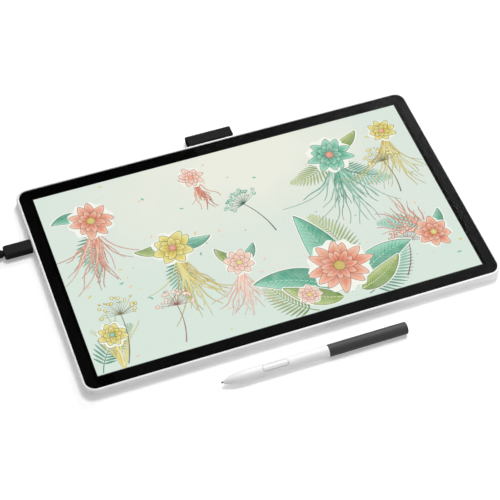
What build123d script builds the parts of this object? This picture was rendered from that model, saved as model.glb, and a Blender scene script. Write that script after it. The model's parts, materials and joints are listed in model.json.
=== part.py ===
from build123d import *
import math
import os

# A flat pen display with its pen and its lead, in millimetres.
# The desk is z = 0, +X runs along the long side to the right and +Y towards the rear edge.
# The display is built about its own centre and the pen about its own axis, then both are placed.

# Lit picture and the printed border round it, which set the case's outline
picture_width = 309.4
picture_depth = 174.0
border_side = 10.8
border_end = 10.3

# Case walls
case_corner = 10.0
desk_gap = 1.0
cover_height = 3.6
frame_height = 5.15
case_wall = 1.8
cover_floor = 1.6
cover_round = 2.8
rim_width = 1.9
rim_round = 1.4
ledge_width = 3.5
ledge_height = 1.2
fit_gap = 0.1
overrun = 1.0

# Cover glass, printed border and tape
glass_proud = 0.15
glass_height = 0.9
glass_bevel = 0.12
ink_height = 0.05
tape_height = 0.15
tape_inset = 0.4
window_gap = 0.3

# Panel stack, from the bond down to the shield
bond_height = 0.25
bond_inset = 0.6
polariser_height = 0.12
polariser_margin = 1.2
cell_height = 0.56
cell_side = 2.5
cell_front = 3.0
cell_rear = 5.0
pan_inset = 0.25
pan_sheet = 0.25
pan_wall = 0.3
reflector_height = 0.15
guide_height = 0.9
film_height = 0.5
film_gap = 0.15
lamp_depth = 1.6
lamp_pitch = 9.0
lamp_size = 3.0
lamp_board = 0.4
sensor_height = 0.4
sensor_inset = 0.5
shield_height = 0.2

# Case screws and their posts
post_radius = 2.3
post_sink = 0.2
screw_radius = 0.9
screw_gap = 0.15
screw_head_radius = 1.6
screw_head_height = 0.8
screw_sink = 0.1
screw_reach = 2.2
recess_radius = 0.7
recess_depth = 0.4
corner_post_share = 0.83
middle_post_share = 0.4

# Rubber feet
foot_length = 30.0
foot_width = 8.0
foot_seat = 0.5
foot_edge_x = 40.0
foot_edge_y = 20.0

# Main board and what stands on it
board_left = 3.0
board_width = 94.0
board_rear_inset = 21.3
board_depth = 58.0
board_sheet = 0.8
board_rise = 0.8
board_corner = 1.5
stud_radius = 2.0
stud_inset = 4.0
small_screw_radius = 0.75
small_screw_gap = 0.1
small_head_radius = 1.4
small_head_height = 0.5
small_screw_reach = 1.1
chip_height = 0.7
chip_size = 12.0
pen_chip_size = 8.0
can_width = 30.0
can_depth = 22.0
can_sheet = 0.15
can_height = 0.95
coil_size = 4.0
coil_pitch = 6.5
coil_height = 0.85
coil_count = 3
coil_row_share = 0.16
pen_chip_share = 0.404
can_share = 0.553
can_front_inset = 12.0
connector_height = 0.6
connector_depth = 3.0
connector_edge = 1.0
connector_margin = 2.0

# Flat cables between the panel, the sensor and the board
ribbon_sheet = 0.15
display_ribbon_width = 24.0
display_ribbon_inset = 23.5
display_ribbon_reach = 1.1
display_ribbon_bend = 0.5
sensor_ribbon_width = 16.0
ribbon_pitch = 30.0
sensor_ribbon_reach = 1.6
sensor_ribbon_bend = 0.25

# Foam pads that back the display, in places given as shares of the half case, and two beside the board
foam_size = 20.0
foam_board_gap = 10.25
foam_row_share = 0.5
foam_place_shares = [(0.3, -0.5), (0.3, 0.5), (0.75, -0.5), (0.75, 0.5), (-0.75, -0.5)]

# Socket in the left wall
socket_offset = 27.0
socket_width = 8.94
socket_height = 3.26
socket_length = 7.3
socket_sheet = 0.3
socket_sink = 0.8
port_margin = 0.35
tongue_width = 6.69
tongue_height = 0.7
tongue_sink = 1.0
tongue_base = 1.5
tab_length = 2.5
tab_reach = 1.5
tab_sheet = 0.3
tab_back = 1.2
notch_gap = 0.15

# Power key and status light in the rear wall
key_side_inset = 49.5
key_z_above_seam = 1.4
key_width = 12.0
key_height = 2.2
key_proud = 0.3
key_gap = 0.12
key_flange_width = 14.0
key_flange_height = 3.0
key_flange_sheet = 0.8
key_travel = 0.4
key_board_width = 24.0
key_board_sheet = 0.8
key_board_top = 2.8
key_board_floor_gap = 0.05
switch_width = 6.0
switch_height = 3.2
switch_depth = 1.5
plunger_radius = 0.8
plunger_reach = 0.45
rib_sheet = 2.0
rib_grip = 1.2
rib_height = 2.6
light_radius = 0.7
light_gap = 0.04
light_offset = 9.5

# Woven pen loop at the rear and the rod that holds it
loop_x = -1.0
loop_width = 38.3
loop_sheet = 1.1
loop_reach = 13.1
loop_half_gap = 2.6
loop_flare = 5.0
neck_half_gap = 0.3
rod_radius = 0.6
rod_gap = 0.1
rod_margin = 1.0
slot_gap = 0.1
rod_rib_sheet = 2.0
rod_rib_gap = 0.4

# Pen, along its own X from the tip
pen_radius = 4.75
pen_length = 148.0
pen_tip_x = -71.1
pen_desk_gap = 15.55
pen_roll = 17.0
nose_start = 1.6
nose_radius = 1.05
nose_length = 18.0
front_length = 84.3
barrel_wall = 1.0
nose_bore = 0.72
throat_start = 7.0
throat_radius = 1.9
neck_start = 12.0
neck_radius = 3.1
spigot_length = 6.0
spigot_wall = 0.75
spigot_gap = 0.05
cap_length = 3.0
cap_plug = 5.0
cap_round = 0.7
cap_gap = 0.03

# Nib, ferrite core and force sensor
nib_radius = 0.6
nib_round_share = 0.9
nib_length = 22.5
nib_travel = 0.4
core_start = 8.0
core_length = 11.0
core_radius = 1.75
core_bore = 0.85
winding_start = 12.4
winding_length = 6.0
winding_radius = 2.6
holder_start = 19.6
holder_length = 5.4
holder_radius = 1.45
holder_gap = 0.02
holder_bore_gap = 0.15
sensor_rest_gap = 0.3
sensor_length = 4.6
sensor_radius = 2.6
sensor_gap = 0.05

# Pen chassis, board and side rocker
chassis_start = 19.1
chassis_end_gap = 4.3
chassis_radius = 3.65
chassis_bulkhead = 31.6
deck_z = -0.6
pen_board_gap = 0.5
pen_board_end_gap = 1.5
pen_board_width = 6.4
pen_board_sheet = 0.8
rocker_middle = 42.2
rocker_length = 19.6
rocker_width = 4.4
rocker_proud = 0.15
rocker_sheet = 1.1
rocker_gap = 0.3
rocker_round = 1.6
rocker_angle = 2.5
pivot_z = 1.9
pivot_radius = 0.45
pivot_gap = 0.05
pivot_fit = 0.02
lug_half_length = 1.1
lug_half_width = 1.25
lug_drop = 0.9
ear_inner = 1.5
ear_outer = 2.5
ear_half_length = 1.2
ear_gap = 0.25
dome_offset = 7.0
dome_size = 2.6
dome_base = 1.0
dome_button_radius = 0.9
dome_button_reach = 0.4
stem_margin = 0.15
stem_radius = 0.8

# Lead: plug, strain relief and cable
cable_radius = 2.1
corner_run_share = 0.45
plug_gap = 0.3
shell_width = 8.25
shell_height = 2.4
shell_length = 6.65
shell_sheet = 0.25
insert_slot_width = 6.85
insert_slot_height = 0.86
insert_slot_depth = 5.9
grip_width = 12.35
grip_height = 6.5
grip_length = 21.9
grip_corner_width = 3.0
grip_corner_length = 1.75
grip_edge = 0.4
relief_length = 12.0
relief_radius = 3.15
relief_neck = 2.5
relief_tip_radius = 2.75
relief_tip_neck = 2.35
relief_ribs = 3
relief_neck_share = 0.33

# Coil of the spare length, in turns that spiral in and out
coil_gap = 0.55
coil_layers = 4
turns_per_layer = 2.5
coil_middle_radius = 25.2
climb_turns = 0.5
spans_per_turn = 4
lead_rise = 2.75
strap_sheet = 0.5
strap_width = 8.0
strap_gap = 0.12
strap_angle = -48.0

# Working heights and outlines that follow from the sizes above
cover_low = desk_gap
floor_top = cover_low + cover_floor
seam_z = cover_low + cover_height
rim_z = seam_z + frame_height
glass_top = rim_z + glass_proud
glass_low = glass_top - glass_height
ink_low = glass_low - ink_height
ledge_z = ink_low - tape_height
ledge_low = ledge_z - ledge_height
bond_low = ink_low - bond_height
cell_top = bond_low - polariser_height
cell_low = cell_top - cell_height
film_ceiling = cell_low - polariser_height
film_top = film_ceiling - film_gap
film_low = film_top - film_height
guide_low = film_low - guide_height
pan_floor = guide_low - reflector_height
pan_low = pan_floor - pan_sheet
sensor_low = pan_low - sensor_height
shield_low = sensor_low - shield_height

glass_width = picture_width + 2 * border_side
glass_depth = picture_depth + 2 * border_end
case_width = glass_width + 2 * (rim_width + fit_gap)
case_depth = glass_depth + 2 * (rim_width + fit_gap)
glass_corner = case_corner - rim_width - fit_gap
opening_width = glass_width - 2 * ledge_width
opening_depth = glass_depth - 2 * ledge_width
opening_corner = glass_corner - ledge_width
inner_corner = case_corner - case_wall
half_width = case_width / 2
half_depth = case_depth / 2
inner_x = half_width - case_wall
inner_y = half_depth - case_wall
window_width = picture_width + 2 * window_gap
window_depth = picture_depth + 2 * window_gap

cell_width = picture_width + 2 * cell_side
cell_front_y = -picture_depth / 2 - cell_front
cell_rear_y = picture_depth / 2 + cell_rear
pan_width = cell_width - 2 * pan_inset
pan_front_y = cell_front_y + pan_inset
pan_rear_y = cell_rear_y - pan_inset

sensor_start = holder_start + holder_length + nib_travel + sensor_rest_gap
chassis_end = front_length - chassis_end_gap
pen_board_start = chassis_bulkhead + pen_board_gap
pen_board_length = chassis_end - pen_board_end_gap - pen_board_start
stem_gap = dome_offset * math.tan(math.radians(rocker_angle)) + stem_margin

socket_z = seam_z
board_low = floor_top + board_rise
board_top = board_low + board_sheet
board_x = -half_width + board_left
board_rear = half_depth - board_rear_inset
board_front = board_rear - board_depth
socket_y = board_front + socket_offset
display_ribbon_x = board_x + board_width - display_ribbon_inset
sensor_ribbon_x = display_ribbon_x - ribbon_pitch
key_x = half_width - key_side_inset
key_z = seam_z + key_z_above_seam
loop_neck = neck_half_gap + loop_sheet
loop_half_height = loop_half_gap + loop_sheet
loop_root_radius = rod_radius + rod_gap + loop_sheet
rod_y = inner_y - loop_root_radius - 2 * slot_gap
post_x = inner_x - post_radius + post_sink
post_y = inner_y - post_radius + post_sink

# Row frame: the middle of the display, its loop and its pen stands over the origin
pen_axis_y = -half_depth - pen_desk_gap - pen_radius
object_front = pen_axis_y - pen_radius
object_rear = half_depth + loop_reach
tablet_y = -(object_front + object_rear) / 2

# Coil values in the row frame
coil_pitch_turn = 2 * cable_radius + coil_gap
coil_outer_radius = coil_middle_radius + coil_pitch_turn * turns_per_layer / 2
coil_turns = coil_layers * turns_per_layer + climb_turns / 2
grip_face_x = -half_width - plug_gap
grip_end_x = grip_face_x - grip_length
relief_end_x = grip_end_x - relief_length
socket_row_y = socket_y + tablet_y
stack_top = lead_rise + (coil_layers - 1) * coil_pitch_turn + cable_radius

# Route of the lead, from the strain relief's end to the coil's, chosen by hand
lead_points = [(0, 0, 0), (-7, 0, 0), (-19, -0.6, -1.25), (-33, -0.2, -1.85)]
lead_reach = 49.0
lead_last_run = 8.0
# Route of the tail, from a point on the line of the coil's end to the second plug, chosen by hand
tail_first_run = 8.0
tail_points = [(0, 0, 0), (4.02, 12.36, 0.15), (13.68, 21.06, 0.35), (26.39, 23.77, 0.6),
               (38.76, 19.75, 0.8), (47.46, 10.09, 1.0), (50.71, 2.78, 1.0)]


def slab(width, depth, corner, low, high):
    """Upright plate with round corners about the display's centre."""
    return Pos(0, 0, low) * extrude(RectangleRounded(width, depth, corner), high - low)


def block(x_low, x_high, y_low, y_high, z_low, z_high):
    """Box between two corners."""
    middle = Pos((x_low + x_high) / 2, (y_low + y_high) / 2, (z_low + z_high) / 2)
    return middle * Box(x_high - x_low, y_high - y_low, z_high - z_low)


def post(radius, x, y, low, high):
    """Upright cylinder."""
    return Pos(x, y, (low + high) / 2) * Cylinder(radius, high - low)


def facing_x(x, y, z):
    """Plane that looks along +X, with its first axis along +Y."""
    return Plane(origin=(x, y, z), x_dir=(0, 1, 0), z_dir=(1, 0, 0))


def facing_y(x, y, z):
    """Plane that looks along +Y, with its first axis along +X."""
    return Plane(origin=(x, y, z), x_dir=(1, 0, 0), z_dir=(0, 1, 0))


def bar(plane, width, height, length):
    """Bar of stadium section that runs along a plane's normal."""
    return extrude(plane * SlotOverall(width, height), length)


def joined(pieces):
    """Sum of several solids, which stay apart where they don't touch."""
    whole = Part()
    for piece in pieces:
        whole += piece
    return whole


def case_post_places():
    """Middles of the case screws."""
    side_y = half_depth * corner_post_share
    end_x = half_width * middle_post_share
    sides = [(side * post_x, y) for side in (-1, 1) for y in (-side_y, 0, side_y)]
    ends = [(x, side * post_y) for side in (-1, 1) for x in (-end_x, end_x)]
    return sides + ends


def foot_places():
    """Names and middles of the four feet."""
    x = half_width - foot_edge_x
    y = half_depth - foot_edge_y
    return {"foot_front_left": (-x, -y), "foot_front_right": (x, -y),
            "foot_rear_left": (-x, y), "foot_rear_right": (x, y)}


def board_stud_places():
    """Middles of the four studs under the main board."""
    xs = (board_x + stud_inset, board_x + board_width - stud_inset)
    ys = (board_front + stud_inset, board_rear - stud_inset)
    return [(x, y) for x in xs for y in ys]


def port_cut():
    """Opening for the plug in the left wall."""
    width = socket_width + 2 * port_margin
    height = socket_height + 2 * port_margin
    plane = facing_x(-half_width - overrun, socket_y, socket_z)
    return bar(plane, width, height, case_wall + 2 * overrun)


def loop_slot_cut():
    """Slot for the woven loop in the rear wall."""
    reach = loop_width / 2 + slot_gap
    half = loop_neck + slot_gap
    return block(loop_x - reach, loop_x + reach, inner_y - overrun, half_depth + overrun,
                 seam_z - half, seam_z + half)


def rod_ribs(low, high):
    """Pair of ribs that hold the loop's rod, from the rear wall inwards."""
    start = loop_width / 2 + rod_rib_gap
    ribs = []
    for side in (-1, 1):
        ends = sorted((loop_x + side * start, loop_x + side * (start + rod_rib_sheet)))
        ribs.append(block(*ends, rod_y - 2 * rod_radius, inner_y + post_sink, low, high))
    length = 2 * (start + rod_rib_sheet + overrun)
    rod_way = Plane(origin=(loop_x - length / 2, rod_y, seam_z), z_dir=(1, 0, 0)) * Circle(rod_radius + cap_gap)
    return joined(ribs) - extrude(rod_way, length)


def front_frame():
    """Upper half of the case: the rim, the ledge under the glass and the screw bosses."""
    frame = slab(case_width, case_depth, case_corner, seam_z, rim_z)
    frame = fillet(frame.edges().group_by(Axis.Z)[-1], rim_round)
    pocket = 2 * fit_gap
    frame -= slab(glass_width + pocket, glass_depth + pocket, glass_corner + fit_gap, ledge_z, rim_z + overrun)
    frame -= slab(opening_width, opening_depth, opening_corner, seam_z - overrun, rim_z)
    frame -= slab(case_width - 2 * case_wall, case_depth - 2 * case_wall, inner_corner, seam_z - overrun, ledge_low)
    for x, y in case_post_places():
        frame += post(post_radius, x, y, seam_z, ledge_low + ledge_height / 2)
        frame -= post(screw_radius + pivot_fit, x, y, seam_z - overrun, seam_z + screw_reach + screw_sink)
    frame += rod_ribs(seam_z, ledge_low + ledge_height / 2)
    frame -= port_cut()
    frame -= loop_slot_cut()
    key_way = facing_y(key_x, inner_y - overrun, key_z)
    frame -= bar(key_way, key_width + 2 * key_gap, key_height + 2 * key_gap, case_wall + 2 * overrun)
    light_way = facing_y(key_x - light_offset, inner_y - overrun, key_z) * Circle(light_radius + light_gap)
    frame -= extrude(light_way, case_wall + 2 * overrun)
    return frame


def key_board_ribs():
    """Grooved ribs on the floor that hold the key board upright."""
    y_low, y_high = key_board_span()
    top = floor_top + rib_height
    ribs = []
    for side in (-1, 1):
        edge = key_x + side * (key_board_width / 2 + fit_gap)
        ends = sorted((edge - side * rib_grip, edge + side * rib_sheet))
        ribs.append(block(*ends, y_low - rib_sheet / 2, y_high + rib_sheet / 2, floor_top - post_sink, top))
    half = key_board_width / 2 + fit_gap
    groove = block(key_x - half, key_x + half, y_low - cap_gap, y_high + cap_gap, floor_top, top + overrun)
    return joined(ribs) - groove


def rear_cover():
    """Lower half of the case: a shallow tray with posts, studs and recesses for the feet."""
    cover = slab(case_width, case_depth, case_corner, cover_low, seam_z)
    cover = fillet(cover.edges().group_by(Axis.Z)[0], cover_round)
    hollow = slab(case_width - 2 * case_wall, case_depth - 2 * case_wall, inner_corner, floor_top, seam_z + overrun)
    cover -= fillet(hollow.edges().group_by(Axis.Z)[0], cover_round - cover_floor)
    for x, y in case_post_places():
        cover += post(post_radius, x, y, floor_top - post_sink, seam_z)
        cover -= post(screw_radius + screw_gap, x, y, cover_low - overrun, seam_z + overrun)
        seat = cover_low + screw_sink + screw_head_height
        cover -= post(screw_head_radius + fit_gap, x, y, cover_low - overrun, seat)
    for x, y in board_stud_places():
        cover += post(stud_radius, x, y, floor_top - post_sink, board_low)
        cover -= post(small_screw_radius + pivot_fit, x, y, board_low - small_screw_reach, board_low + overrun)
    for x, y in foot_places().values():
        seat = SlotOverall(foot_length + 2 * fit_gap, foot_width + 2 * fit_gap)
        cover -= Pos(x, y, cover_low - overrun) * extrude(seat, foot_seat + overrun)
    cover += rod_ribs(floor_top - post_sink, seam_z)
    cover += key_board_ribs()
    cover -= port_cut()
    cover -= loop_slot_cut()
    return cover


def rubber_foot(x, y):
    """One foot, set into its recess."""
    foot = extrude(SlotOverall(foot_length, foot_width), desk_gap + foot_seat)
    foot = fillet(foot.edges().group_by(Axis.Z)[0], foot_seat)
    return Pos(x, y, 0) * foot


def case_screws():
    """Screws that join the cover to the frame, heads in the underside."""
    head_low = cover_low + screw_sink
    seat = head_low + screw_head_height
    screws = []
    for x, y in case_post_places():
        screw = post(screw_head_radius, x, y, head_low, seat) + post(screw_radius, x, y, seat, seam_z + screw_reach)
        drive = Pos(x, y, head_low) * extrude(RegularPolygon(recess_radius, 6), recess_depth)
        screws.append(screw - drive)
    return joined(screws)


def board_screws():
    """Screws that hold the main board on its studs."""
    screws = []
    for x, y in board_stud_places():
        head = post(small_head_radius, x, y, board_top, board_top + small_head_height)
        shank = post(small_screw_radius, x, y, board_low - small_screw_reach + screw_sink, board_top)
        screws.append(head + shank)
    return joined(screws)


def cover_glass():
    """Clear sheet over the picture and the border."""
    glass = slab(glass_width, glass_depth, glass_corner, glass_low, glass_top)
    return chamfer(glass.edges().group_by(Axis.Z)[-1], glass_bevel)


def glass_border():
    """Dark border printed under the glass."""
    ink = slab(glass_width - 2 * fit_gap, glass_depth - 2 * fit_gap, glass_corner - fit_gap, ink_low, glass_low)
    return ink - block(-window_width / 2, window_width / 2, -window_depth / 2, window_depth / 2,
                       ink_low - overrun, glass_low + overrun)


def glass_tape():
    """Tape ring that holds the glass on the ledge."""
    outer = 2 * (fit_gap + tape_inset)
    inner = 2 * tape_inset
    tape = slab(glass_width - outer, glass_depth - outer, glass_corner - outer / 2, ledge_z, ink_low)
    return tape - slab(opening_width + inner, opening_depth + inner, opening_corner + tape_inset,
                       ledge_z - overrun, ink_low + overrun)


def optical_bond():
    """Clear bond between the glass and the panel, filling the window of the border."""
    edge = cell_width / 2 - bond_inset
    sheet = block(-edge, edge, cell_front_y + bond_inset, cell_rear_y - bond_inset, bond_low, ink_low)
    return sheet + block(-window_width / 2, window_width / 2, -window_depth / 2, window_depth / 2, ink_low, glass_low)


def cell_sheet(margin, low, high):
    """Sheet of the panel's outline, drawn in by a margin."""
    edge = cell_width / 2 - margin
    return block(-edge, edge, cell_front_y + margin, cell_rear_y - margin, low, high)


def polarisers():
    """Films on the two faces of the panel."""
    return joined([cell_sheet(polariser_margin, low, low + polariser_height) for low in (cell_top, film_ceiling)])


def pan_inside(margin, low, high):
    """Box inside the backlight pan, clear of its wall by a margin."""
    edge = pan_width / 2 - pan_wall - margin
    return block(-edge, edge, pan_front_y + pan_wall + margin, pan_rear_y - pan_wall - margin, low, high)


def backlight_pan():
    """Sheet metal tray that holds the light guide and carries the panel's edge."""
    pan = block(-pan_width / 2, pan_width / 2, pan_front_y, pan_rear_y, pan_low, cell_low)
    return pan - pan_inside(0, pan_floor, cell_low + overrun)


def guide_sheet(low, high):
    """Sheet of the light guide's outline, behind the lamps."""
    edge = pan_width / 2 - pan_wall - fit_gap
    front = pan_front_y + pan_wall + lamp_depth + 2 * fit_gap
    return block(-edge, edge, front, pan_rear_y - pan_wall - fit_gap, low, high)


def film_sheet():
    """Stack of diffusing films above the light guide."""
    return pan_inside(fit_gap, film_low, film_top)


def led_strip():
    """Lamps along the front edge of the light guide, on their strip."""
    front = pan_front_y + pan_wall + fit_gap
    edge = pan_width / 2 - pan_wall - fit_gap
    strip = block(-edge, edge, front, front + lamp_board, guide_low, film_low - fit_gap)
    count = int(2 * (edge - lamp_size) / lamp_pitch)
    for number in range(count + 1):
        x = (number - count / 2) * lamp_pitch
        strip += block(x - lamp_size / 2, x + lamp_size / 2, front + lamp_board - fit_gap / 2, front + lamp_depth,
                       guide_low, film_low - fit_gap)
    return strip


def under_sheet(low, high):
    """Sheet under the pan, such as the pen sensor and its shield."""
    edge = pan_width / 2 - sensor_inset
    return block(-edge, edge, pan_front_y + sensor_inset, pan_rear_y - sensor_inset, low, high)


def support_foam():
    """Foam pads between the cover's floor and the shield."""
    half = foam_size / 2
    beside = board_x + board_width + foam_board_gap + half
    places = [(beside, side * foam_row_share * half_depth) for side in (-1, 1)]
    places += [(x * half_width, y * half_depth) for x, y in foam_place_shares]
    return joined([block(x - half, x + half, y - half, y + half, floor_top, shield_low) for x, y in places])


def main_board():
    """Main board, notched round the socket."""
    middle_x = board_x + board_width / 2
    middle_y = (board_front + board_rear) / 2
    plate = extrude(RectangleRounded(board_width, board_depth, board_corner), board_sheet)
    board = Pos(middle_x, middle_y, board_low) * plate
    half = socket_width / 2 + notch_gap
    notch_end = -half_width + socket_sink + socket_length + notch_gap
    board -= block(board_x - overrun, notch_end, socket_y - half, socket_y + half,
                   board_low - overrun, board_top + overrun)
    for x, y in board_stud_places():
        board -= post(small_screw_radius + small_screw_gap, x, y, board_low - overrun, board_top + overrun)
    return board


def can_corner():
    """Low corner of the shield can on the board."""
    return board_x + can_share * board_width, board_front + can_front_inset


def board_chips():
    """Controllers, coils and ribbon connectors soldered on the main board."""
    can_x, can_y = can_corner()
    middle_x = can_x + can_width / 2
    middle_y = can_y + can_depth / 2
    half = chip_size / 2
    chips = [block(middle_x - half, middle_x + half, middle_y - half, middle_y + half,
                   board_top, board_top + chip_height)]
    left = board_x + pen_chip_share * board_width
    chips.append(block(left, left + pen_chip_size, middle_y - pen_chip_size / 2, middle_y + pen_chip_size / 2,
                       board_top, board_top + chip_height))
    for number in range(coil_count):
        x = board_x + coil_row_share * board_width + number * coil_pitch
        chips.append(block(x, x + coil_size, middle_y - coil_size / 2, middle_y + coil_size / 2,
                           board_top, board_top + coil_height))
    for x, width in ((display_ribbon_x, display_ribbon_width), (sensor_ribbon_x, sensor_ribbon_width)):
        reach = width / 2 + connector_margin
        rear = board_rear - connector_edge
        chips.append(block(x - reach, x + reach, rear - connector_depth, rear,
                           board_top, board_top + connector_height))
    return joined(chips)


def board_shield_can():
    """Tin can over the display controller."""
    can_x, can_y = can_corner()
    can = block(can_x, can_x + can_width, can_y, can_y + can_depth, board_top, board_top + can_height)
    return can - block(can_x + can_sheet, can_x + can_width - can_sheet, can_y + can_sheet,
                       can_y + can_depth - can_sheet, board_top - overrun, board_top + can_height - can_sheet)


def ribbon(x, width, start_y, start_z, reach, bend):
    """Flat cable from an edge behind the panel, down and back onto the board's connector."""
    low = board_top + connector_height + ribbon_sheet / 2
    end = board_rear - connector_edge - connector_depth
    route = FilletPolyline((x, start_y, start_z), (x, start_y + reach, start_z), (x, start_y + reach, low),
                           (x, end, low), radius=bend)
    section = facing_y(x, start_y, start_z) * Rectangle(width, ribbon_sheet)
    return sweep(sections=section, path=route)


def display_ribbon():
    """Flat cable of the panel."""
    return ribbon(display_ribbon_x, display_ribbon_width, cell_rear_y, cell_top - cell_height / 2,
                  display_ribbon_reach, display_ribbon_bend)


def sensor_ribbon():
    """Flat cable of the pen sensor."""
    return ribbon(sensor_ribbon_x, sensor_ribbon_width, pan_rear_y - sensor_inset, sensor_low + sensor_height / 2,
                  sensor_ribbon_reach, sensor_ribbon_bend)


def usb_socket_shell():
    """Metal mouth of the socket with the two feet soldered on the board."""
    mouth_x = -half_width + socket_sink
    shell = bar(facing_x(mouth_x, socket_y, socket_z), socket_width, socket_height, socket_length)
    hollow = facing_x(mouth_x - overrun, socket_y, socket_z)
    shell -= bar(hollow, socket_width - 2 * socket_sheet, socket_height - 2 * socket_sheet,
                 socket_length + 2 * overrun)
    back = mouth_x + socket_length - tab_back
    for side in (-1, 1):
        inner = socket_y + side * (socket_width / 2 - socket_sheet)
        ends = sorted((inner, socket_y + side * (socket_width / 2 + notch_gap + tab_reach)))
        shell += block(back - tab_length, back, *ends, board_top, board_top + tab_sheet)
    return shell


def usb_socket_tongue():
    """Plastic block and tongue inside the socket."""
    mouth_x = -half_width + socket_sink
    back = mouth_x + socket_length
    plug = bar(facing_x(back - tongue_base, socket_y, socket_z), socket_width - 2 * socket_sheet,
               socket_height - 2 * socket_sheet, tongue_base)
    return plug + block(mouth_x + tongue_sink, back - tongue_base / 2, socket_y - tongue_width / 2,
                        socket_y + tongue_width / 2, socket_z - tongue_height / 2, socket_z + tongue_height / 2)


def key_board_span():
    """Front and rear faces of the key board, worked back from the key's flange."""
    plunger_end = inner_y - fit_gap - key_flange_sheet - key_travel - fit_gap
    rear = plunger_end - plunger_reach - switch_depth
    return rear - key_board_sheet, rear


def power_board():
    """Upright board with the switch behind the power key."""
    y_low, y_high = key_board_span()
    half = key_board_width / 2
    board = block(key_x - half, key_x + half, y_low, y_high,
                  floor_top + key_board_floor_gap, key_z + key_board_top / 2)
    board += block(key_x - switch_width / 2, key_x + switch_width / 2, y_high - fit_gap, y_high + switch_depth,
                   key_z - switch_height / 2, key_z + switch_height / 2)
    plunger = facing_y(key_x, y_high + switch_depth - fit_gap, key_z) * Circle(plunger_radius)
    return board + extrude(plunger, plunger_reach + fit_gap)


def power_key():
    """Key in the rear wall, with the flange that keeps it in."""
    flange_face = inner_y - fit_gap - key_flange_sheet
    flange = bar(facing_y(key_x, flange_face, key_z), key_flange_width, key_flange_height, key_flange_sheet)
    stem = bar(facing_y(key_x, inner_y - fit_gap - key_flange_sheet / 2, key_z), key_width, key_height,
               case_wall + fit_gap + key_flange_sheet / 2 + key_proud)
    stem = chamfer(stem.edges().group_by(Axis.Y)[-1], key_proud / 2)
    return flange + stem


def status_light():
    """Clear rod from the key board to the rear wall."""
    _, board_face = key_board_span()
    rod = facing_y(key_x - light_offset, board_face, key_z) * Circle(light_radius)
    return extrude(rod, half_depth - board_face)


def band_outline(root_radius, neck, half, end_y):
    """Closed outline of the loop seen along X: round the rod, through the slot, then a wide bow."""
    root_y = rod_y + math.sqrt(root_radius ** 2 - neck ** 2)
    bow_y = end_y - half
    flare_y = half_depth + loop_flare
    top = [
        Line((root_y, neck), (half_depth, neck)),
        Spline((half_depth, neck), (flare_y, half), tangents=((1, 0), (1, 0))),
        Line((flare_y, half), (bow_y, half)),
    ]
    bow = ThreePointArc((bow_y, half), (end_y, 0), (bow_y, -half))
    bottom = [
        Line((bow_y, -half), (flare_y, -half)),
        Spline((flare_y, -half), (half_depth, -neck), tangents=((-1, 0), (-1, 0))),
        Line((half_depth, -neck), (root_y, -neck)),
    ]
    root = ThreePointArc((root_y, -neck), (rod_y - root_radius, 0), (root_y, neck))
    return make_face(Curve() + top + [bow] + bottom + [root])


def pen_loop():
    """Woven band, a closed loop held by the rod inside the rear wall."""
    end_y = half_depth + loop_reach
    outer = band_outline(loop_root_radius, loop_neck, loop_half_height, end_y)
    inner = band_outline(loop_root_radius - loop_sheet, neck_half_gap, loop_half_gap, end_y - loop_sheet)
    plane = facing_x(loop_x - loop_width / 2, 0, seam_z)
    return extrude(plane * (outer - inner), loop_width)


def loop_rod():
    """Metal rod through the root of the loop, held by ribs on the cover and the frame."""
    reach = loop_width / 2 + rod_rib_gap + rod_rib_sheet + rod_margin
    rod = Plane(origin=(loop_x - reach, rod_y, seam_z), z_dir=(1, 0, 0)) * Circle(rod_radius)
    return extrude(rod, 2 * reach)


def turned(points):
    """Solid turned about X from a closed outline of (x, radius) points."""
    return revolve(make_face(Polyline(*points, close=True)), Axis.X)


def tube(x_low, x_high, outer, inner):
    """Ring section along X."""
    return turned([(x_low, inner), (x_high, inner), (x_high, outer), (x_low, outer)])


def along_x(radius, x_low, x_high):
    """Solid round bar along X."""
    return turned([(x_low, 0), (x_high, 0), (x_high, radius), (x_low, radius)])


def rocker_window():
    """Opening for the rocker through the top of the front barrel."""
    half = rocker_length / 2 + rocker_gap
    window = extrude(RectangleRounded(2 * half, rocker_width + 2 * rocker_gap, rocker_round + rocker_gap), pen_radius)
    return Pos(rocker_middle, 0, ear_inner) * window


def pen_front_barrel():
    """White front barrel: a rounded nose, the rocker's window and the spigot for the rear barrel."""
    bore = pen_radius - barrel_wall
    spigot = bore_rear() - spigot_gap
    end = front_length + spigot_length
    outline = Curve() + [
        Line((nose_start, nose_bore), (nose_start, nose_radius)),
        TangentArc((nose_length, pen_radius), (nose_start, nose_radius), tangent=(-1, 0)),
        Polyline((nose_length, pen_radius), (front_length, pen_radius), (front_length, spigot), (end, spigot),
                 (end, spigot - spigot_wall), (front_length - barrel_wall, spigot - spigot_wall),
                 (front_length - 2 * barrel_wall, bore), (nose_length, bore), (nose_length, neck_radius),
                 (neck_start, neck_radius), (neck_start, throat_radius), (throat_start, throat_radius),
                 (throat_start, nose_bore), (nose_start, nose_bore)),
    ]
    return revolve(make_face(outline), Axis.X) - rocker_window()


def bore_rear():
    """Bore radius of the rear barrel."""
    return pen_radius - 3 * barrel_wall / 4


def pen_rear_barrel():
    """Dark rear barrel."""
    return tube(front_length, pen_length - cap_length, pen_radius, bore_rear())


def pen_end_cap():
    """Cap that closes the rear barrel, with its plug inside."""
    start = pen_length - cap_length
    cap = along_x(pen_radius, start, pen_length)
    cap = fillet(cap.edges().group_by(Axis.X)[-1], cap_round)
    return cap + along_x(bore_rear() - cap_gap, start - cap_plug, start + cap_length / 3)


def pen_nib():
    """Nib with a round tip."""
    nib = along_x(nib_radius, 0, nib_length)
    return fillet(nib.edges().group_by(Axis.X)[0], nib_radius * nib_round_share)


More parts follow.
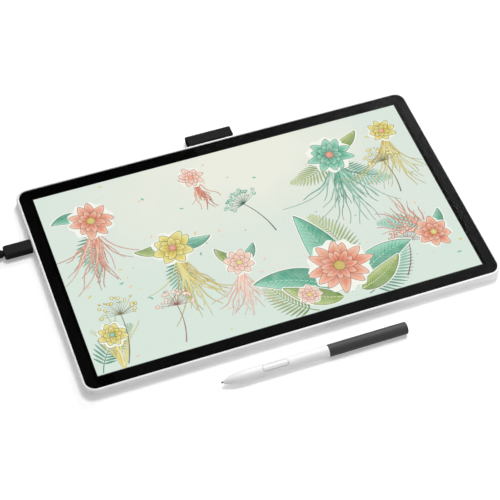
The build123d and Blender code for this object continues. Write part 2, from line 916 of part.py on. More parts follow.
def pen_nib_holder():
    """Cup that grips the nib and pushes the force sensor."""
    cup = along_x(holder_radius, holder_start, holder_start + holder_length)
    return cup - along_x(nib_radius + holder_gap, holder_start - overrun, nib_length + holder_gap)


def pen_chassis():
    """Frame inside the pen: a sleeve for the sensor, then an open deck for the board."""
    chassis = along_x(chassis_radius, chassis_start, chassis_end)
    deck = block(chassis_bulkhead, chassis_end + overrun, -pen_radius, pen_radius, deck_z, pen_radius)
    chassis -= deck
    chassis -= along_x(holder_radius + holder_bore_gap, chassis_start - overrun, sensor_start)
    sensor_end = sensor_start + sensor_length
    chassis -= along_x(sensor_radius + sensor_gap, sensor_start - sensor_gap, sensor_end + sensor_gap)
    ears = []
    for side in (-1, 1):
        ends = sorted((side * ear_inner, side * ear_outer))
        ears.append(block(rocker_middle - ear_half_length, rocker_middle + ear_half_length, *ends,
                          deck_z - post_sink, pen_radius))
    chassis += joined(ears) & along_x(chassis_radius, chassis_bulkhead, chassis_end)
    return chassis - pivot_bar(pivot_radius + pivot_fit, pen_radius)


def pivot_bar(radius, reach):
    """Round bar across the pen at the rocker's pivot."""
    plane = Plane(origin=(rocker_middle, -reach, pivot_z), z_dir=(0, 1, 0))
    return extrude(plane * Circle(radius), 2 * reach)


def pen_board():
    """Board on the chassis deck, notched round the ears."""
    half = pen_board_width / 2
    board = block(pen_board_start, pen_board_start + pen_board_length, -half, half, deck_z, deck_z + pen_board_sheet)
    for side in (-1, 1):
        ends = sorted((side * (ear_inner - fit_gap), side * pen_radius))
        board -= block(rocker_middle - ear_half_length - ear_gap, rocker_middle + ear_half_length + ear_gap, *ends,
                       deck_z - overrun, deck_z + pen_board_sheet + overrun)
    return board


def pen_switches():
    """Two small switches under the ends of the rocker."""
    floor = deck_z + pen_board_sheet
    switches = []
    for side in (-1, 1):
        x = rocker_middle + side * dome_offset
        half = dome_size / 2
        body = block(x - half, x + half, -half, half, floor, floor + dome_base)
        button_top = floor + dome_base + dome_button_reach
        switches.append(body + post(dome_button_radius, x, 0, floor + dome_base / 2, button_top))
    return joined(switches)


def pen_rocker():
    """Long side rocker with a lug for its pivot and a stem over each switch."""
    outer = pen_radius + rocker_proud
    plan = extrude(RectangleRounded(rocker_length, rocker_width, rocker_round), outer + overrun)
    shell = tube(0, front_length, outer, outer - rocker_sheet)
    rocker = shell & (Pos(rocker_middle, 0, ear_inner) * plan)
    under = outer - rocker_sheet / 2
    rocker += block(rocker_middle - lug_half_length, rocker_middle + lug_half_length,
                    -lug_half_width, lug_half_width, pivot_z - lug_drop, under)
    top = deck_z + pen_board_sheet + dome_base + dome_button_reach
    for side in (-1, 1):
        rocker += post(stem_radius, rocker_middle + side * dome_offset, 0, top + stem_gap, under)
    return rocker - pivot_bar(pivot_radius + pivot_gap, pen_radius)


def strain_relief():
    """Ribbed strain relief, which thins along -X from 0."""
    step = relief_length / relief_ribs
    points = [(0, 0)]
    for number in range(relief_ribs):
        share = number / (relief_ribs - 1)
        rib = relief_radius + (relief_tip_radius - relief_radius) * share
        neck = relief_neck + (relief_tip_neck - relief_neck) * share
        start = -number * step
        rib_start = start - step * relief_neck_share
        points += [(start, neck), (rib_start, neck), (rib_start, rib), (start - step, rib)]
    points.append((-relief_length, 0))
    return turned(points)


def plug_shell():
    """Metal mouth of a plug, which points along +X from the grip's face at 0."""
    shell = bar(facing_x(-grip_edge, 0, 0), shell_width, shell_height, shell_length + grip_edge)
    return shell - bar(facing_x(0, 0, 0), shell_width - 2 * shell_sheet, shell_height - 2 * shell_sheet,
                       shell_length + overrun)


def plug_insert():
    """Plastic insert of a plug, with the slot for the socket's tongue."""
    length = shell_length - shell_sheet
    insert = bar(facing_x(0, 0, 0), shell_width - 2 * shell_sheet, shell_height - 2 * shell_sheet, length)
    slot = facing_x(length - insert_slot_depth, 0, 0) * Rectangle(insert_slot_width, insert_slot_height)
    return insert - extrude(slot, insert_slot_depth + overrun)


def plug_grip():
    """Moulded grip of a plug, with its two rear corners cut off."""
    grip = bar(facing_x(-grip_length, 0, 0), grip_width, grip_height, grip_length)
    side_y = grip_width / 2
    corner = make_face(Polyline((-grip_length, side_y - grip_corner_width),
                                (grip_corner_length - grip_length, side_y),
                                (grip_corner_length - grip_length, side_y + overrun),
                                (-grip_length - overrun, side_y + overrun),
                                (-grip_length - overrun, side_y - grip_corner_width), close=True))
    wedge = Pos(0, 0, -grip_height) * extrude(corner, 2 * grip_height)
    grip -= wedge
    grip -= mirror(wedge, Plane.XZ)
    ends = grip.edges().group_by(Axis.X)
    grip = fillet(ends[0] + ends[-1], grip_edge)
    return grip - bar(facing_x(-grip_edge, 0, 0), shell_width, shell_height, shell_length)


def coil_radius(turn):
    """Radius of the coil's centreline: the spiral goes in and out at one rate, eased where it reverses."""
    ease = climb_turns / 2
    from_inner = abs(turn % (2 * turns_per_layer) - turns_per_layer)
    inward = turns_per_layer - from_inner
    if from_inner < ease:
        inward = turns_per_layer - (from_inner ** 2 / ease + ease) / 2
    elif inward < ease and turn > ease:
        inward = (inward ** 2 / ease + ease) / 2
    return coil_outer_radius - coil_pitch_turn * inward


def coil_height_at(turn):
    """Height of the coil's centreline, which climbs a layer in the half turn round each reversal."""
    height = lead_rise
    for layer in range(1, coil_layers + 1):
        share = (turn - layer * turns_per_layer) / climb_turns + 1 / 2
        share = min(max(share, 0), 1)
        height += coil_pitch_turn * (1 - math.cos(math.pi * share)) / 2
    return height


def coil_point(turn):
    """Point of the coil's centreline, wound clockwise seen from above."""
    angle = math.radians(-90 - 360 * turn)
    radius = coil_radius(turn)
    return coil_middle + Vector(radius * math.cos(angle), radius * math.sin(angle), coil_height_at(turn))


def coil_direction(turn):
    """Unit direction of the coil's centreline."""
    step = climb_turns / 1000
    return (coil_point(turn + step) - coil_point(max(turn - step, 0))).normalized()


def biarc(start, start_way, end, end_way):
    """Two tangent arcs that join two points with their directions."""
    chord = end - start
    both = start_way + end_way
    a = 2 * (1 - start_way.dot(end_way))
    b = 2 * chord.dot(both)
    c = -chord.dot(chord)
    reach = (-b + math.sqrt(b * b - 4 * a * c)) / (2 * a)
    reach = abs(reach)
    first = start + start_way * reach
    last = end - end_way * reach
    middle = (first + last) / 2
    return [TangentArc(start, middle, tangent=start_way), TangentArc(middle, end, tangent=last - first)]


def coil_path():
    """Centreline of the coil, with a straight stretch of one diameter at each end."""
    count = round(coil_turns * spans_per_turn)
    stops = [coil_turns * number / count for number in range(count + 1)]
    places = [(coil_point(turn), coil_direction(turn)) for turn in stops]
    edges = [Line(places[0][0] - places[0][1] * 2 * cable_radius, places[0][0])]
    for (start, start_way), (end, end_way) in zip(places, places[1:]):
        edges += biarc(start, start_way, end, end_way)
    edges.append(Line(places[-1][0], places[-1][0] + places[-1][1] * 2 * cable_radius))
    return Wire([edge.edge() for edge in edges])


def least_gap(path, samples_per_turn):
    """Least gap between the cable's turns, measured on points of the path."""
    count = round(coil_turns * samples_per_turn)
    points = [path.position_at(number / count) for number in range(count + 1)]
    apart = samples_per_turn // 2
    least = min((points[i] - points[j]).length for i in range(count + 1) for j in range(i + apart, count + 1))
    return least - 2 * cable_radius


def corner_radii(points):
    """Radius at each inner corner of a route: a share of the shorter run, over the tangent of half the turn."""
    radii = []
    for before, corner, after in zip(points, points[1:], points[2:]):
        first = corner - before
        second = after - corner
        turn = math.radians(first.get_angle(second))
        radii.append(corner_run_share * min(first.length, second.length) / math.tan(turn / 2))
    return radii


def cable_run(points, name):
    """Round cable along a route of straight runs and tangent arcs, with its checks printed."""
    radii = corner_radii(points)
    route = FilletPolyline(*points, radius=radii)
    section = Plane(origin=points[0], z_dir=points[1] - points[0]) * Circle(cable_radius)
    solid = sweep(sections=section, path=route)
    area = math.pi * cable_radius ** 2
    print(name, "radii", [round(radius, 1) for radius in radii], "length", round(route.length, 1),
          "volume share", round(solid.volume / (area * route.length), 4))
    return solid


def cable_coil():
    """Coil of the spare cable."""
    path = coil_path()
    start = path.position_at(0)
    section = Plane(origin=start, z_dir=path.tangent_at(0)) * Circle(cable_radius)
    solid = sweep(sections=section, path=path)
    area = math.pi * cable_radius ** 2
    print("coil length", round(path.length, 1), "least gap", round(least_gap(path, 48), 3),
          "volume share", round(solid.volume / (area * path.length), 4))
    return solid


def cable_tie():
    """Strap round the coil's bundle, in the plane through the coil's axis."""
    outer = coil_outer_radius + cable_radius + strap_gap
    inner = coil_outer_radius - coil_pitch_turn * turns_per_layer - cable_radius - strap_gap
    low = lead_rise - cable_radius - strap_gap
    high = stack_top + coil_pitch_turn / 4 + strap_gap
    width = outer - inner
    height = high - low
    plane = Plane(origin=(0, -strap_width / 2, 0), x_dir=(1, 0, 0), z_dir=(0, 1, 0))
    middle = Pos((outer + inner) / 2, -(low + high) / 2)
    band = middle * RectangleRounded(width + 2 * strap_sheet, height + 2 * strap_sheet, cable_radius + strap_sheet)
    band -= middle * RectangleRounded(width, height, cable_radius)
    strap = extrude(plane * band, strap_width)
    return Pos(coil_middle) * Rot(0, 0, strap_angle) * strap


def lead_route():
    """Points of the lead from the strain relief to the coil's straight end."""
    start = Vector(relief_end_x, socket_row_y, socket_z)
    way = coil_direction(0)
    join = coil_point(0) - way * 2 * cable_radius
    return [start + Vector(*point) for point in lead_points] + [join - way * lead_last_run, join]


def tail_route():
    """Points of the tail from the coil's straight end to the second plug's relief."""
    way = coil_direction(coil_turns)
    join = coil_point(coil_turns) + way * 2 * cable_radius
    corner = join + way * tail_first_run
    return [join] + [corner + Vector(*point) for point in tail_points]


def tablet_pieces():
    """Pieces of the display, about its own centre."""
    pieces = {
        "front_frame": front_frame(),
        "rear_cover": rear_cover(),
        "case_screws": case_screws(),
        "cover_glass": cover_glass(),
        "glass_border": glass_border(),
        "glass_tape": glass_tape(),
        "optical_bond": optical_bond(),
        "polarisers": polarisers(),
        "lcd_cell": cell_sheet(0, cell_low, cell_top),
        "film_stack": film_sheet(),
        "light_guide": guide_sheet(guide_low, film_low),
        "led_strip": led_strip(),
        "reflector": pan_inside(fit_gap, pan_floor, guide_low),
        "backlight_pan": backlight_pan(),
        "sensor_board": under_sheet(sensor_low, pan_low),
        "sensor_shield": under_sheet(shield_low, sensor_low),
        "support_foam": support_foam(),
        "main_board": main_board(),
        "board_chips": board_chips(),
        "board_shield_can": board_shield_can(),
        "board_screws": board_screws(),
        "display_ribbon": display_ribbon(),
        "sensor_ribbon": sensor_ribbon(),
        "usb_socket_shell": usb_socket_shell(),
        "usb_socket_tongue": usb_socket_tongue(),
        "power_board": power_board(),
        "power_key": power_key(),
        "status_light": status_light(),
        "pen_loop": pen_loop(),
        "loop_rod": loop_rod(),
    }
    for name, (x, y) in foot_places().items():
        pieces[name] = rubber_foot(x, y)
    return {name: Pos(0, tablet_y, 0) * piece for name, piece in pieces.items()}


def pen_pieces():
    """Pieces of the pen, rolled about its axis and laid on the desk."""
    place = Pos(pen_tip_x, pen_axis_y + tablet_y, pen_radius) * Rot(pen_roll, 0, 0)
    pieces = {
        "pen_front_barrel": pen_front_barrel(),
        "pen_rear_barrel": pen_rear_barrel(),
        "pen_end_cap": pen_end_cap(),
        "pen_nib": pen_nib(),
        "pen_nib_holder": pen_nib_holder(),
        "pen_ferrite": tube(core_start, core_start + core_length, core_radius, core_bore),
        "pen_winding": tube(winding_start, winding_start + winding_length, winding_radius, core_radius + cap_gap),
        "pen_force_sensor": along_x(sensor_radius, sensor_start, sensor_start + sensor_length),
        "pen_chassis": pen_chassis(),
        "pen_board": pen_board(),
        "pen_switches": pen_switches(),
        "pen_rocker": pen_rocker(),
        "pen_rocker_pin": pivot_bar(pivot_radius, ear_outer),
    }
    return {name: place * piece for name, piece in pieces.items()}


def lead_pieces():
    """Pieces of the lead: a plug in the socket, the cable, its coil and the second plug on the coil."""
    tail = tail_route()
    run = tail[-1] - tail[-2]
    turn = math.degrees(math.atan2(run.Y, run.X))
    near = Pos(grip_face_x, socket_row_y, socket_z)
    far = Pos(tail[-1]) * Rot(0, 0, turn) * Pos(relief_length + grip_length, 0, 0)
    behind = Pos(-grip_length, 0, 0)
    return {
        "plug_shell": near * plug_shell(),
        "plug_insert": near * plug_insert(),
        "plug_grip": near * plug_grip(),
        "plug_relief": near * behind * strain_relief(),
        "cable_lead": cable_run(lead_route(), "lead"),
        "cable_coil": cable_coil(),
        "cable_tail": cable_run(tail, "tail"),
        "cable_tie": cable_tie(),
        "host_relief": far * behind * strain_relief(),
        "host_grip": far * plug_grip(),
        "host_insert": far * plug_insert(),
        "host_shell": far * plug_shell(),
    }


coil_middle = Vector(relief_end_x - lead_reach - 2 * cable_radius, socket_row_y + coil_outer_radius, 0)

os.makedirs("parts", exist_ok=True)
all_pieces = {**tablet_pieces(), **pen_pieces(), **lead_pieces()}
for node_name, node in all_pieces.items():
    export_step(node, f"parts/{node_name}.step")
print("nodes", len(all_pieces), "display centre y", round(tablet_y, 3), "top", round(glass_top, 3))
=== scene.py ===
"""Pen display with its pen and lead: finishes, lit picture, woven loop, lead, studio and camera.

Pieces are in metres in the shared frame: +X along the display's long side, +Y to its rear edge, +Z up.
"""

import json
import logging
import math
from collections.abc import Callable
from dataclasses import dataclass, field
from enum import Enum
from functools import cache
from typing import Any

import bpy
import numpy as np
from mathutils import Matrix, Vector


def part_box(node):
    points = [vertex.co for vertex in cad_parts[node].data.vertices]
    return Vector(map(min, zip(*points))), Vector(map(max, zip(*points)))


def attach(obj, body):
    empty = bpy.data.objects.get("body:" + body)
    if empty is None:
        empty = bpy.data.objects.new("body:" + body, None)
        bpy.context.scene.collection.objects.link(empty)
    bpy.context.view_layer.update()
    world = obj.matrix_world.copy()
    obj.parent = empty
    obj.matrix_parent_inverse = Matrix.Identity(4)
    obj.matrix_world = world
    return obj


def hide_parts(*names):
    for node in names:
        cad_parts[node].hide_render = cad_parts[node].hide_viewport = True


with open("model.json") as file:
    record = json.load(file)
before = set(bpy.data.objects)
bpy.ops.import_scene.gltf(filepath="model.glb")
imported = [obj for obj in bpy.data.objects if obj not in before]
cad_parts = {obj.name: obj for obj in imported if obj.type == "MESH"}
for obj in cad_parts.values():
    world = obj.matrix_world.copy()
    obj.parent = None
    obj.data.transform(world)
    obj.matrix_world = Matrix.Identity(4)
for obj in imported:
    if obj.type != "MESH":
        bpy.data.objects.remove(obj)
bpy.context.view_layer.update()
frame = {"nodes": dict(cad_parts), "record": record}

MM = 0.001

logging.basicConfig(level=logging.INFO, format="%(message)s")
log = logging.getLogger("pen_display")

Rgb = tuple[float, float, float]
Point = tuple[float, float, float]
Spot = tuple[float, float]
Socket = bpy.types.NodeSocket
Material = bpy.types.Material
Piece = bpy.types.Object
Feeds = dict[Any, Any]
Array = np.ndarray
Values = float | Array

PICTURE_Y = 6.275  # Y of the lit picture's middle, in millimetres.
SOFT = (0.3, 0.7)  # Range that soft noise mostly lies in.
GOLDEN_ANGLE = 2.39996  # Turn from one seed of a flower's heart to the next, in radians.
LIFT_STEP = 0.06  # Step between plants of one kind, in layers, so that no two lie in one plane.


def tone(red: float, green: float, blue: float) -> Rgb:
    """Linear colour of three screen values.

    Args:
        red: Red from 0 to 255.
        green: Green from 0 to 255.
        blue: Blue from 0 to 255.

    Returns:
        The three linear values from 0 to 1.
    """
    share = np.array((red, green, blue)) / 255
    linear = np.where(share <= 0.04045, share / 12.92, ((share + 0.055) / 1.055) ** 2.4)
    return tuple(float(value) for value in linear)


def scaled(colour: Rgb, factor: float) -> Rgb:
    """Colour made darker or brighter by a factor, at most white."""
    return tuple(min(value * factor, 1.0) for value in colour)


class Along(Enum):
    """Direction that a brushed finish runs along, as the stretch of its pattern on each axis."""

    X = (0.04, 1.0, 1.0)
    Y = (1.0, 0.04, 1.0)
    NONE = (1.0, 1.0, 1.0)


class Graph:
    """Node tree of a material or a world, with short ways to add and join its nodes."""

    def __init__(self, owner: bpy.types.ID, output: str = "OutputMaterial") -> None:
        """Empties the node tree of a material or a world.

        Args:
            owner: Material or world.
            output: Kind of its output node.
        """
        self.owner, self.output = owner, output
        owner.use_nodes = True
        self.tree = owner.node_tree
        self.tree.nodes.clear()

    def add(self, kind: str, inputs: Feeds | None = None, **settings: Any) -> bpy.types.Node:
        """Adds a node.

        Args:
            kind: Node type without its "ShaderNode" prefix.
            inputs: Socket name or number to a value, or to the output that feeds it.
            settings: Properties of the node.

        Returns:
            The new node.
        """
        node = self.tree.nodes.new("ShaderNode" + kind)
        for key, value in settings.items():
            setattr(node, key, value)
        for key, value in (inputs or {}).items():
            if isinstance(value, Socket):
                self.tree.links.new(value, node.inputs[key])
            else:
                node.inputs[key].default_value = value
        return node

    def place(self, stretch: Point = (1.0, 1.0, 1.0), shift: Point = (0.0, 0.0, 0.0)) -> Socket:
        """Object coordinates, stretched and then shifted."""
        coords = self.add("TexCoord").outputs["Object"]
        return self.add("Mapping", {"Vector": coords, "Scale": stretch, "Location": shift}).outputs["Vector"]

    def noise(self, size: float, detail: float = 2.0, at: Socket | None = None) -> Socket:
        """Soft noise from 0 to 1 with blotches of a size in metres."""
        inputs = {"Vector": at or self.place(), "Scale": 1 / size, "Detail": detail}
        return self.add("TexNoise", inputs).outputs["Fac"]

    def cells(self, size: float, at: Socket) -> Socket:
        """Distance to the middle of the nearest of many cells of a size in metres."""
        return self.add("TexVoronoi", {"Vector": at, "Scale": 1 / size}).outputs["Distance"]

    def ramp(self, share: Socket, *stops: tuple[float, Rgb]) -> Socket:
        """Colour picked along a row of stops.

        Args:
            share: Where to pick it, from 0 to 1.
            stops: Position and colour of each stop.

        Returns:
            The colour's socket.
        """
        node = self.add("ValToRGB", {"Fac": share})
        elements = node.color_ramp.elements
        while len(elements) < len(stops):
            elements.new(0.5)
        for element, (position, colour) in zip(elements, stops):
            element.position = position
            element.color = (*colour, 1.0)
        return node.outputs["Color"]

    def patchy(self, share: Socket, low: Rgb, high: Rgb) -> Socket:
        """Colour that goes from low to high over the range of soft noise."""
        return self.ramp(share, (SOFT[0], low), (SOFT[1], high))

    def remap(self, value: Socket, start: Spot, end: Spot) -> Socket:
        """Value carried from one range to another, and held at its ends."""
        names = ("Value", "From Min", "From Max", "To Min", "To Max")
        return self.add("MapRange", dict(zip(names, (value, *start, *end)))).outputs["Result"]

    def uneven(self, share: Socket, middle: float, reach: float) -> Socket:
        """Value that strays from a middle by up to a reach, over the range of soft noise."""
        return self.remap(share, SOFT, (middle - reach, middle + reach))

    def maths(self, operation: str, first: Any, second: Any = 0.0, third: Any = 0.5) -> Socket:
        """Result of one sum, product or other operation on up to three values."""
        return self.add("Math", {0: first, 1: second, 2: third}, operation=operation).outputs["Value"]

    def times(self, first: Any, second: Any) -> Socket:
        """Product of two values."""
        return self.maths("MULTIPLY", first, second)

    def length(self, vector: Socket) -> Socket:
        """Length of a vector."""
        return self.add("VectorMath", {0: vector}, operation="LENGTH").outputs["Value"]

    def tinted(self, share: Socket, first: Socket, second: Rgb) -> Socket:
        """Colour between two, by a share."""
        return self.add("Mix", {0: share, 6: first, 7: (*second, 1.0)}, data_type="RGBA").outputs[2]

    def bump(self, height: Socket, distance: float) -> Socket:
        """Normal of a surface whose height of 0 to 1 stands for a distance in metres."""
        return self.add("Bump", {"Height": height, "Strength": 1.0, "Distance": distance}).outputs["Normal"]

    def principled(self, inputs: Feeds) -> Socket:
        """Shader of one principled node."""
        return self.add("BsdfPrincipled", inputs).outputs["BSDF"]

    def lit(self, colour: Socket) -> Socket:
        """Shader of a dull black surface that glows in a colour."""
        black = {"Base Color": (0.01, 0.01, 0.01, 1.0), "Roughness": 0.6, "Specular IOR Level": 0.0}
        return self.principled(black | {"Emission Color": colour, "Emission Strength": 1.0})

    def see_through(self, share: Socket, tint: Rgb, shown: Socket) -> Socket:
        """Tinted clear shader, of which a share is another shader."""
        clear = self.add("BsdfTransparent", {"Color": (*tint, 1.0)}).outputs["BSDF"]
        return self.add("MixShader", {0: share, 1: clear, 2: shown}).outputs["Shader"]

    def seen_share(self) -> Socket:
        """What tells the rays that show the surroundings from those that light the object.

        Returns:
            1 for rays from the camera, a mirror or glass, and 0 for all others.
        """
        path = self.add("LightPath").outputs
        first = self.maths("MAXIMUM", path["Is Camera Ray"], path["Is Glossy Ray"])
        return self.maths("MAXIMUM", first, path["Is Transmission Ray"])

    def done(self, shader: Socket) -> bpy.types.ID:
        """Joins the shader to the output and returns the material or world."""
        self.add(self.output, {"Surface": shader})
        return self.owner


@dataclass(frozen=True)
class Finish:
    """Finish of a material slot: one principled node, unless its kind says otherwise."""

    def inputs(self, graph: Graph) -> Feeds:
        """Feeds of the principled node, by socket, made in the graph of its material: here none."""
        return {}

    def shader(self, graph: Graph) -> Socket:
        """Shader of this finish, made in the graph of its material."""
        return graph.principled(self.inputs(graph))

    def material(self, name: str) -> Material:
        """New material of this finish."""
        graph = Graph(bpy.data.materials.new(name))
        return graph.done(self.shader(graph))


@dataclass(frozen=True)
class Moulded(Finish):
    """Moulded plastic, rubber, film or print: a faint mottle of tone, a fine grain and an uneven sheen."""

    colour: Rgb
    roughness: float = 0.45
    mottle: float = 0.04
    mottle_size: float = 14 * MM
    grain_size: float = 0.35 * MM
    grain_height: float = 0.006 * MM
    specular: float = 0.5
    coat: float = 0.0
    coat_roughness: float = 0.12

    def inputs(self, graph: Graph) -> Feeds:
        """Feeds of its principled node.

        Args:
            graph: Graph of the material.

        Returns:
            Feeds by socket.
        """
        patch = graph.noise(self.mottle_size)
        low, high = scaled(self.colour, 1 - self.mottle), scaled(self.colour, 1 + self.mottle)
        return {"Base Color": graph.patchy(patch, low, high),
                "Roughness": graph.uneven(patch, self.roughness, 0.04),
                "Specular IOR Level": self.specular,
                "Coat Weight": self.coat, "Coat Roughness": self.coat_roughness,
                "Normal": graph.bump(graph.noise(self.grain_size, 3.0), self.grain_height)}


@dataclass(frozen=True)
class Metal(Finish):
    """Bare or plated metal, with fine lines where it was drawn or brushed."""

    colour: Rgb
    roughness: float = 0.3
    along: Along = Along.NONE
    line_size: float = 0.4 * MM
    line_height: float = 0.004 * MM
    patch_size: float = 9 * MM
    patch_shade: float = 0.9

    def inputs(self, graph: Graph) -> Feeds:
        """Feeds of its principled node.

        Args:
            graph: Graph of the material.

        Returns:
            Feeds by socket.
        """
        lines = graph.noise(self.line_size, 3.0, graph.place(self.along.value))
        patch = graph.noise(self.patch_size)
        return {"Base Color": graph.patchy(patch, scaled(self.colour, self.patch_shade), self.colour),
                "Metallic": 1.0,
                "Roughness": graph.uneven(lines, self.roughness, 0.07),
                "Normal": graph.bump(lines, self.line_height)}


@dataclass(frozen=True)
class SolderMask(Finish):
    """Printed circuit board: coloured mask over fine tracks, with small tinned holes."""

    colour: Rgb
    track: Rgb
    tin: Rgb = tone(206, 196, 168)
    track_length: float = 5.2 * MM
    track_pitch: float = 0.9 * MM
    track_gap: float = 0.12 * MM
    track_height: float = 0.03 * MM
    hole_pitch: float = 3.4 * MM
    hole_edge: Spot = (0.09, 0.11)

    def inputs(self, graph: Graph) -> Feeds:
        """Feeds of its principled node.

        Args:
            graph: Graph of the material.

        Returns:
            Feeds by socket.
        """
        place = graph.place()
        tracks = graph.add("TexBrick", {
            "Vector": place, "Scale": 1.0, "Brick Width": self.track_length, "Row Height": self.track_pitch,
            "Mortar Size": self.track_gap, "Mortar Smooth": 0.2,
            "Color1": (0, 0, 0, 1), "Color2": (0.15, 0.15, 0.15, 1), "Mortar": (1, 1, 1, 1)}).outputs["Color"]
        hole = graph.remap(graph.cells(self.hole_pitch, place), self.hole_edge, (1.0, 0.0))
        mask = graph.ramp(tracks, (0.0, self.colour), (1.0, self.track))
        return {"Base Color": graph.tinted(hole, mask, self.tin), "Roughness": 0.38, "Metallic": hole,
                "Normal": graph.bump(tracks, self.track_height)}


@dataclass(frozen=True)
class Clear(Finish):
    """Clear or milky sheet: see-through, with some of its own body showing and a soft sheen."""

    tint: Rgb
    body: float = 0.15
    roughness: float = 0.25
    cloud_size: float = 20 * MM
    cloud_shade: float = 0.94

    def shader(self, graph: Graph) -> Socket:
        """Shader of this finish.

        Args:
            graph: Graph of the material.

        Returns:
            The shader's socket.
        """
        cloud = graph.noise(self.cloud_size)
        colour = graph.patchy(cloud, scaled(self.tint, self.cloud_shade), self.tint)
        shown = graph.principled({"Base Color": colour, "Roughness": self.roughness})
        share = graph.remap(cloud, SOFT, (self.body * 0.9, self.body * 1.1))
        return graph.see_through(share, self.tint, shown)


@dataclass(frozen=True)
class CoverGlass(Finish):
    """Etched glass: see-through, with a soft mirror over the picture that grows at a low angle."""

    tint: Rgb = (0.985, 0.99, 0.988)
    grazing_share: float = 0.5
    grazing_power: float = 5.0
    mirror: float = 0.06
    roughness: float = 0.3
    etch_size: float = 0.5 * MM
    half_width: float = 155 * MM
    half_depth: float = 87.3 * MM
    middle_y: float = PICTURE_Y * MM

    def shader(self, graph: Graph) -> Socket:
        """Shader of this finish.

        Args:
            graph: Graph of the material.

        Returns:
            The shader's socket.
        """
        roughness = graph.uneven(graph.noise(self.etch_size, 3.0), self.roughness, 0.03)
        colour = (self.mirror, self.mirror, self.mirror, 1.0)
        mirror = graph.principled({"Base Color": colour, "Metallic": 1.0, "Roughness": roughness})
        facing = graph.add("LayerWeight", {"Blend": 0.5}).outputs["Facing"]
        low_angle = graph.times(graph.maths("POWER", facing, self.grazing_power), self.grazing_share)
        spot = graph.add("SeparateXYZ", {"Vector": graph.place()}).outputs
        beside = graph.maths("ABSOLUTE", spot["X"])
        before = graph.maths("ABSOLUTE", graph.maths("SUBTRACT", spot["Y"], self.middle_y))
        inside = graph.times(graph.maths("LESS_THAN", beside, self.half_width),
                             graph.maths("LESS_THAN", before, self.half_depth))
        return graph.see_through(graph.times(low_angle, inside), self.tint, mirror)


@dataclass(frozen=True)
class Foam(Finish):
    """Open-cell foam pad, with painted shade in the pits of its cells."""

    colour: Rgb
    cell: float = 0.6 * MM
    cell_depth: float = 0.15 * MM

    def inputs(self, graph: Graph) -> Feeds:
        """Feeds of its principled node.

        Args:
            graph: Graph of the material.

        Returns:
            Feeds by socket.
        """
        cells = graph.cells(self.cell, graph.place())
        # Painted shade: the colour falls to half the tone towards the middle of each cell, where the bump
        # makes a pit.
        colour = graph.ramp(cells, (0.1, scaled(self.colour, 0.5)), (0.7, self.colour))
        return {"Base Color": colour, "Roughness": 0.95, "Normal": graph.bump(cells, self.cell_depth)}


@dataclass(frozen=True)
class Banded(Finish):
    """Bands across X: wound wire, a printed strip with lamps, or a ribbon's tracks."""

    first: Rgb
    second: Rgb
    pitch: float
    metallic: float = 0.0
    roughness: float = 0.4
    height: float = 0.03 * MM

    def inputs(self, graph: Graph) -> Feeds:
        """Feeds of its principled node. A wave texture of scale 1 has 20 / tau bands a metre.

        Args:
            graph: Graph of the material.

        Returns:
            Feeds by socket.
        """
        bands = {"Vector": graph.place(), "Scale": math.tau / 20 / self.pitch, "Distortion": 0.0}
        wave = graph.add("TexWave", bands, wave_type="BANDS", bands_direction="X").outputs["Fac"]
        return {"Base Color": graph.ramp(wave, (0.35, self.first), (0.65, self.second)),
                "Metallic": self.metallic,
                "Roughness": graph.uneven(graph.noise(6 * MM), self.roughness, 0.05),
                "Normal": graph.bump(wave, self.height)}


@dataclass(frozen=True)
class Woven(Finish):
    """Woven tape that follows its own UV map, in metres: ribs across it and yarns along it, with painted
    shade between the yarns and a painted highlight on their tops.
    """

    colour: Rgb
    rib: float = 1.1 * MM
    yarn: float = 0.62 * MM
    height: float = 0.16 * MM
    fuzz_size: float = 0.25 * MM
    fuzz_share: float = 0.25

    def inputs(self, graph: Graph) -> Feeds:
        """Feeds of its principled node.

        Args:
            graph: Graph of the material.

        Returns:
            Feeds by socket.
        """
        uv = graph.add("SeparateXYZ", {"Vector": graph.add("UVMap", uv_map="weave").outputs["UV"]}).outputs
        yarn = graph.maths("SINE", graph.times(uv["X"], math.tau / self.yarn))
        rib = graph.maths("SINE", graph.times(uv["Y"], math.tau / self.rib))
        weave = graph.maths("MULTIPLY_ADD", graph.times(yarn, rib), 0.5, 0.5)
        fuzz = graph.noise(self.fuzz_size, 3.0)
        level = graph.maths("ADD", graph.times(weave, 1 - self.fuzz_share),
                            graph.times(fuzz, self.fuzz_share))
        # Painted shade and highlight: the colour runs from 0.3 times the tone in the low places of the weave
        # to 1.9 times it on the raised yarns.
        colour = graph.ramp(level, (0.2, scaled(self.colour, 0.3)), (0.8, scaled(self.colour, 1.9)))
        return {"Base Color": colour, "Roughness": 0.82, "Sheen Weight": 0.02, "Sheen Roughness": 0.4,
                "Specular IOR Level": 0.05, "Normal": graph.bump(level, self.height)}


@dataclass(frozen=True)
class LitWash(Finish):
    """Lit ground of the picture: a pale wash that drifts from mint to cream, with faint fibres."""

    stretch: Point = (5.5, 7.0, 0.0)
    shift: Point = (-0.05, -0.55, 0.0)
    cloud_size: float = 90 * MM
    fibre_size: float = 3 * MM

    def shader(self, graph: Graph) -> Socket:
        """Shader of this finish, which falls from cream to mint with the distance from its pale place.

        Args:
            graph: Graph of the material.

        Returns:
            The shader's socket.
        """
        away = graph.length(graph.place(self.stretch, self.shift))
        cloud = graph.maths("ADD", graph.times(graph.noise(self.cloud_size, 3.0), 0.9), 0.5)
        wash = graph.maths("SUBTRACT", cloud, graph.times(away, 0.8))
        wash = graph.maths("ADD", wash, graph.times(graph.noise(self.fibre_size, 4.0), 0.08))
        return graph.lit(graph.ramp(wash, (0.2, tone(219, 232, 222)), (0.42, tone(223, 232, 223)),
                                    (0.62, tone(229, 234, 223)), (0.85, tone(237, 238, 226))))


